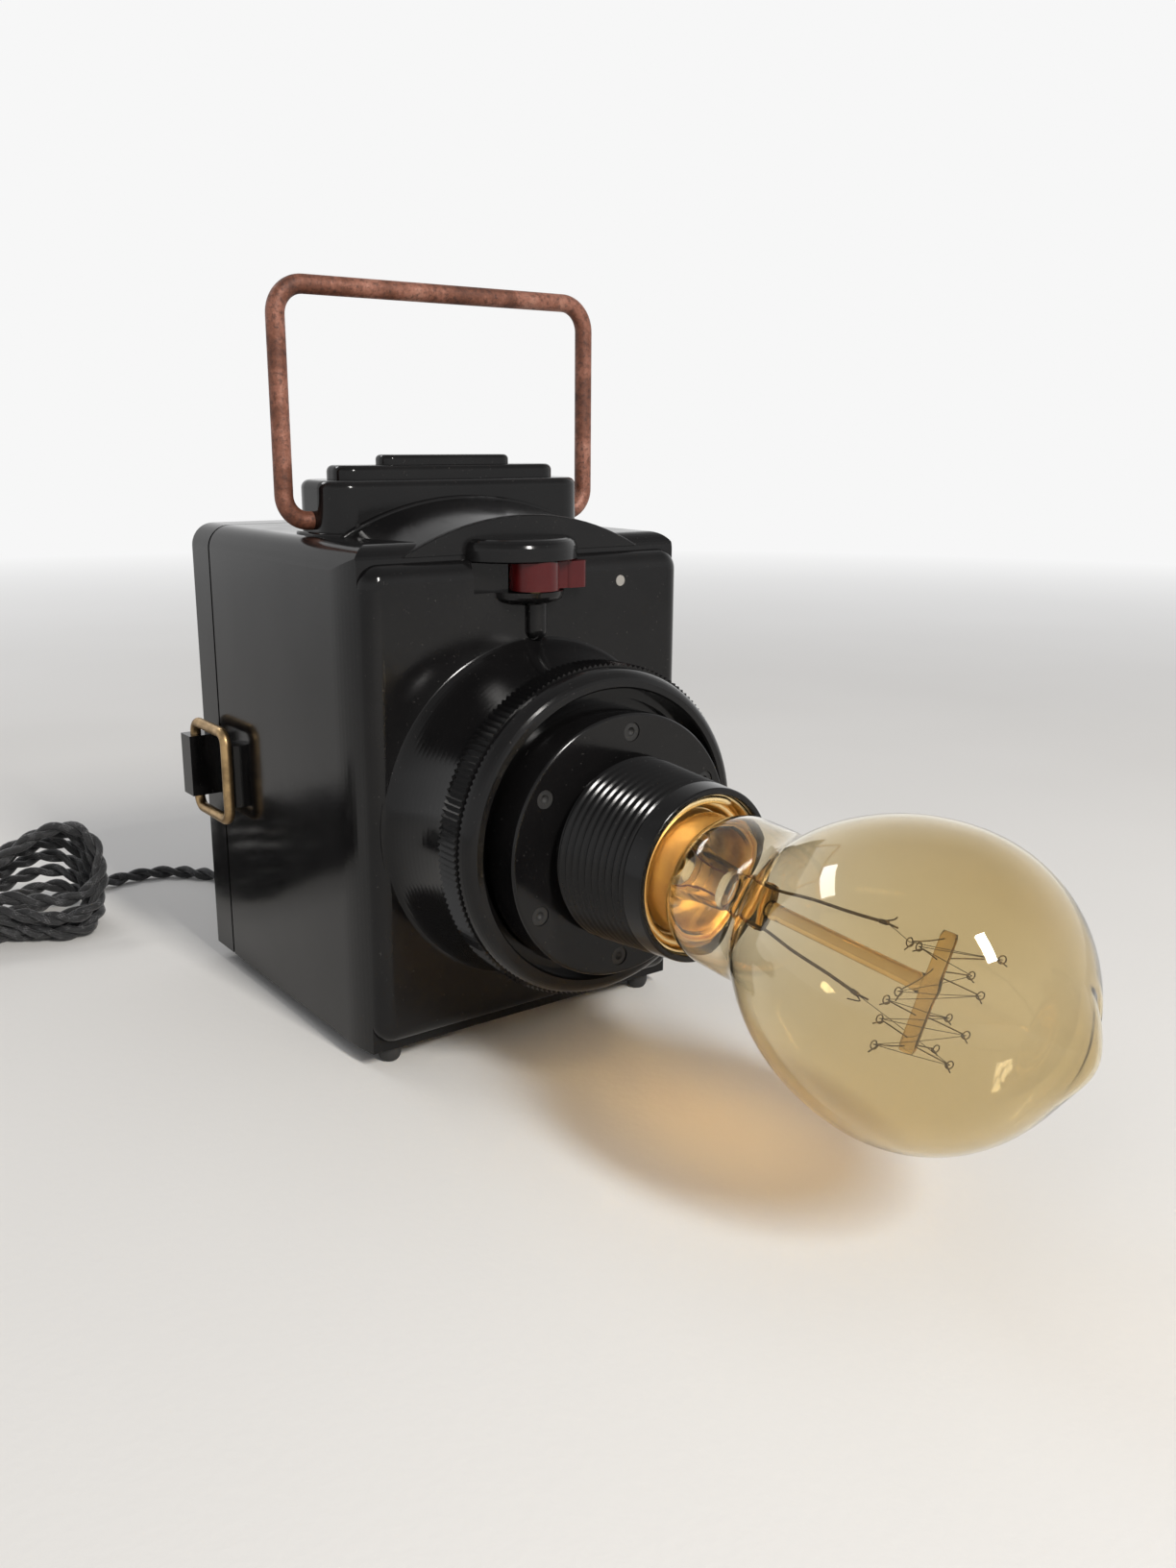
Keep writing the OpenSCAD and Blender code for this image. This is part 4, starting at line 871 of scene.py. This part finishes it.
def add_leads():
    """Two stiff lead wires, each nipped over the filament's end with a short prong."""
    parts = []
    for side, (spread, reach) in zip((1, -1), LEAD_ENDS):
        root = Vector((0, side * LEAD_ROOT, PRESS_END - 4))
        neck = Vector((0, side * LEAD_NECK, PRESS_END + 1.5))
        end = Vector((0, spread, reach))
        bow = neck.lerp(end, 0.3) + Vector((0, side * 0.25, 0))
        line = spline([root, neck, bow, neck.lerp(end, 0.65), end], 6)
        parts.append(sweep(line, LEAD_R, 10))
        run = (end - neck).normalized()
        nip = [end - run * 1.9, end - run * 1.5, end - run * 0.2, end + run * 0.3]
        nip_r = LEAD_R * NIP_SWELL
        parts.append(sweep(nip, [LEAD_R, nip_r, nip_r, LEAD_R], 10))
        prong = [end - run * 1.6, end + Vector((0.4, side * 0.9, 0.6)),
                 end + Vector((0.7, side * 1.7, 1.7 * side - 0.6))]
        parts.append(sweep(spline(prong, 4), LEAD_R * 0.45, 8))
        stub = [end - run * 0.4, end + run * 2.4 - Vector((0, side * 0.35, 0))]
        parts.append(sweep(stub, LEAD_R * 0.6, 8))
    points, faces, _ = joined(parts)
    leads = add_mesh("lead_wires_bent", [ROLL @ p for p in points], faces, "support_wire", "bulb")
    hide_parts("lead_wires")


FILAMENT_R = 0.07
FILAMENT_BOW = 0.35
# Order in which the filament passes through the hooks
FILAMENT_ORDER = [0, 6, 1, 8, 3, 7, 2, 10, 4, 9, 5, 11]


def add_filament():
    """Thin wire from one lead's end through the hooks' loops to the other's."""
    first, last = [BAR.inverted() @ ROLL @ Vector((0.2, spread, reach - 0.6))
                   for spread, reach in LEAD_ENDS]
    loops = [Vector((n, u, z)) for u, n, z in (HOOKS[index][1] for index in FILAMENT_ORDER)]
    stops = [first, *loops, last]
    bow = Vector((0, 0, FILAMENT_BOW))
    parts = []
    for a, b in zip(stops, stops[1:]):
        line = [a.lerp(b, i / 10) + bow * math.sin(math.pi * i / 10) for i in range(11)]
        parts.append(sweep(line, FILAMENT_R, 6))
    points, faces, _ = joined(parts)
    wire = add_mesh("filament_wire", [BAR @ p for p in points], faces, "tungsten", "bulb")
    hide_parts("filament")


# ---------------------------------------------------------------- stage and light
PALE = (0.93, 0.93, 0.93)
OVERHEAD = (0.36, 0.36, 0.36)
FLOOR_HALF = 6.0
# Distances in metres over which the floor fades into the backdrop
FADE_FROM = 0.45
FADE_TO = 1.5
LAMP_AIM = (0, 0, 0.06)


def add_floor():
    """Plain pale floor, which fades into the backdrop away from the lamp."""
    m = Nodes("floor")
    fibre = m.noise(420, 3, 0.6)
    tone = m.ramp(m.noise(3.0, 3, 0.5), [(0.3, (0.735, 0.715, 0.68)), (0.7, (0.79, 0.77, 0.735))])
    m.feed(Base_Color=tone, Roughness=m.span(fibre, 0.3, 0.7, 0.85, 0.95),
           Normal=m.bump(fibre, 0.0002, 0.4))
    away = m.node("VectorMath", {0: m.place_at()}, operation="LENGTH").outputs["Value"]
    fade = m.math("MULTIPLY", m.span(away, FADE_FROM, FADE_TO, 0.0, 1.0), m.backdrop_seen())
    m.show_as(fade, m.node("Emission", {"Color": (*PALE, 1), "Strength": 1.0}))
    corners = [(x * FLOOR_HALF, y * FLOOR_HALF, 0) for x, y in ((-1, -1), (1, -1), (1, 1), (-1, 1))]
    mesh = bpy.data.meshes.new("floor")
    mesh.from_pydata(corners, [], [(0, 1, 2, 3)])
    mesh.materials.append(m.material)
    floor = bpy.data.objects.new("floor", mesh)
    bpy.context.scene.collection.objects.link(floor)


def add_lamp(name, at, size, power, tone=(1, 1, 1)):
    light = bpy.data.lights.new(name, "AREA")
    light.shape = "RECTANGLE"
    light.size, light.size_y = size
    light.energy = power
    light.color = tone
    lamp = bpy.data.objects.new(name, light)
    bpy.context.scene.collection.objects.link(lamp)
    lamp.location = at
    aim = Vector(LAMP_AIM) - Vector(at)
    lamp.rotation_euler = aim.to_track_quat("-Z", "Y").to_euler()


def add_world():
    """Pale backdrop, white at the horizon and greyer overhead, and a plain soft light."""
    m = Nodes("studio", world=True)
    m.feed(Color=(0.93, 0.95, 1.0, 1), Strength=0.46)
    height = m.node("SeparateXYZ", {0: m.coords.outputs["Generated"]}).outputs[2]
    grey = m.ramp(height, [(0.28, PALE), (0.75, OVERHEAD)])
    m.show_as(m.backdrop_seen(), m.node("Background", {"Color": grey, "Strength": 1.0}))
    bpy.context.scene.world = m.material


def add_lights():
    add_lamp("key", (0.0, -0.95, 0.81), (0.14, 0.36), 12, (1.0, 0.975, 0.94))
    add_lamp("rim", (-0.25, 0.9, 0.9), (0.5, 0.16), 2)


add_camera()
add_cord()
add_inner_flex()
dress_nodes()
add_glass()
add_cap_collar()
add_shell_turns()
add_stem()
add_stem_wires()
add_arbor()
add_hooks()
add_leads()
add_filament()
add_floor()
add_lights()
add_world()
bpy.context.scene.view_settings.view_transform = "Standard"
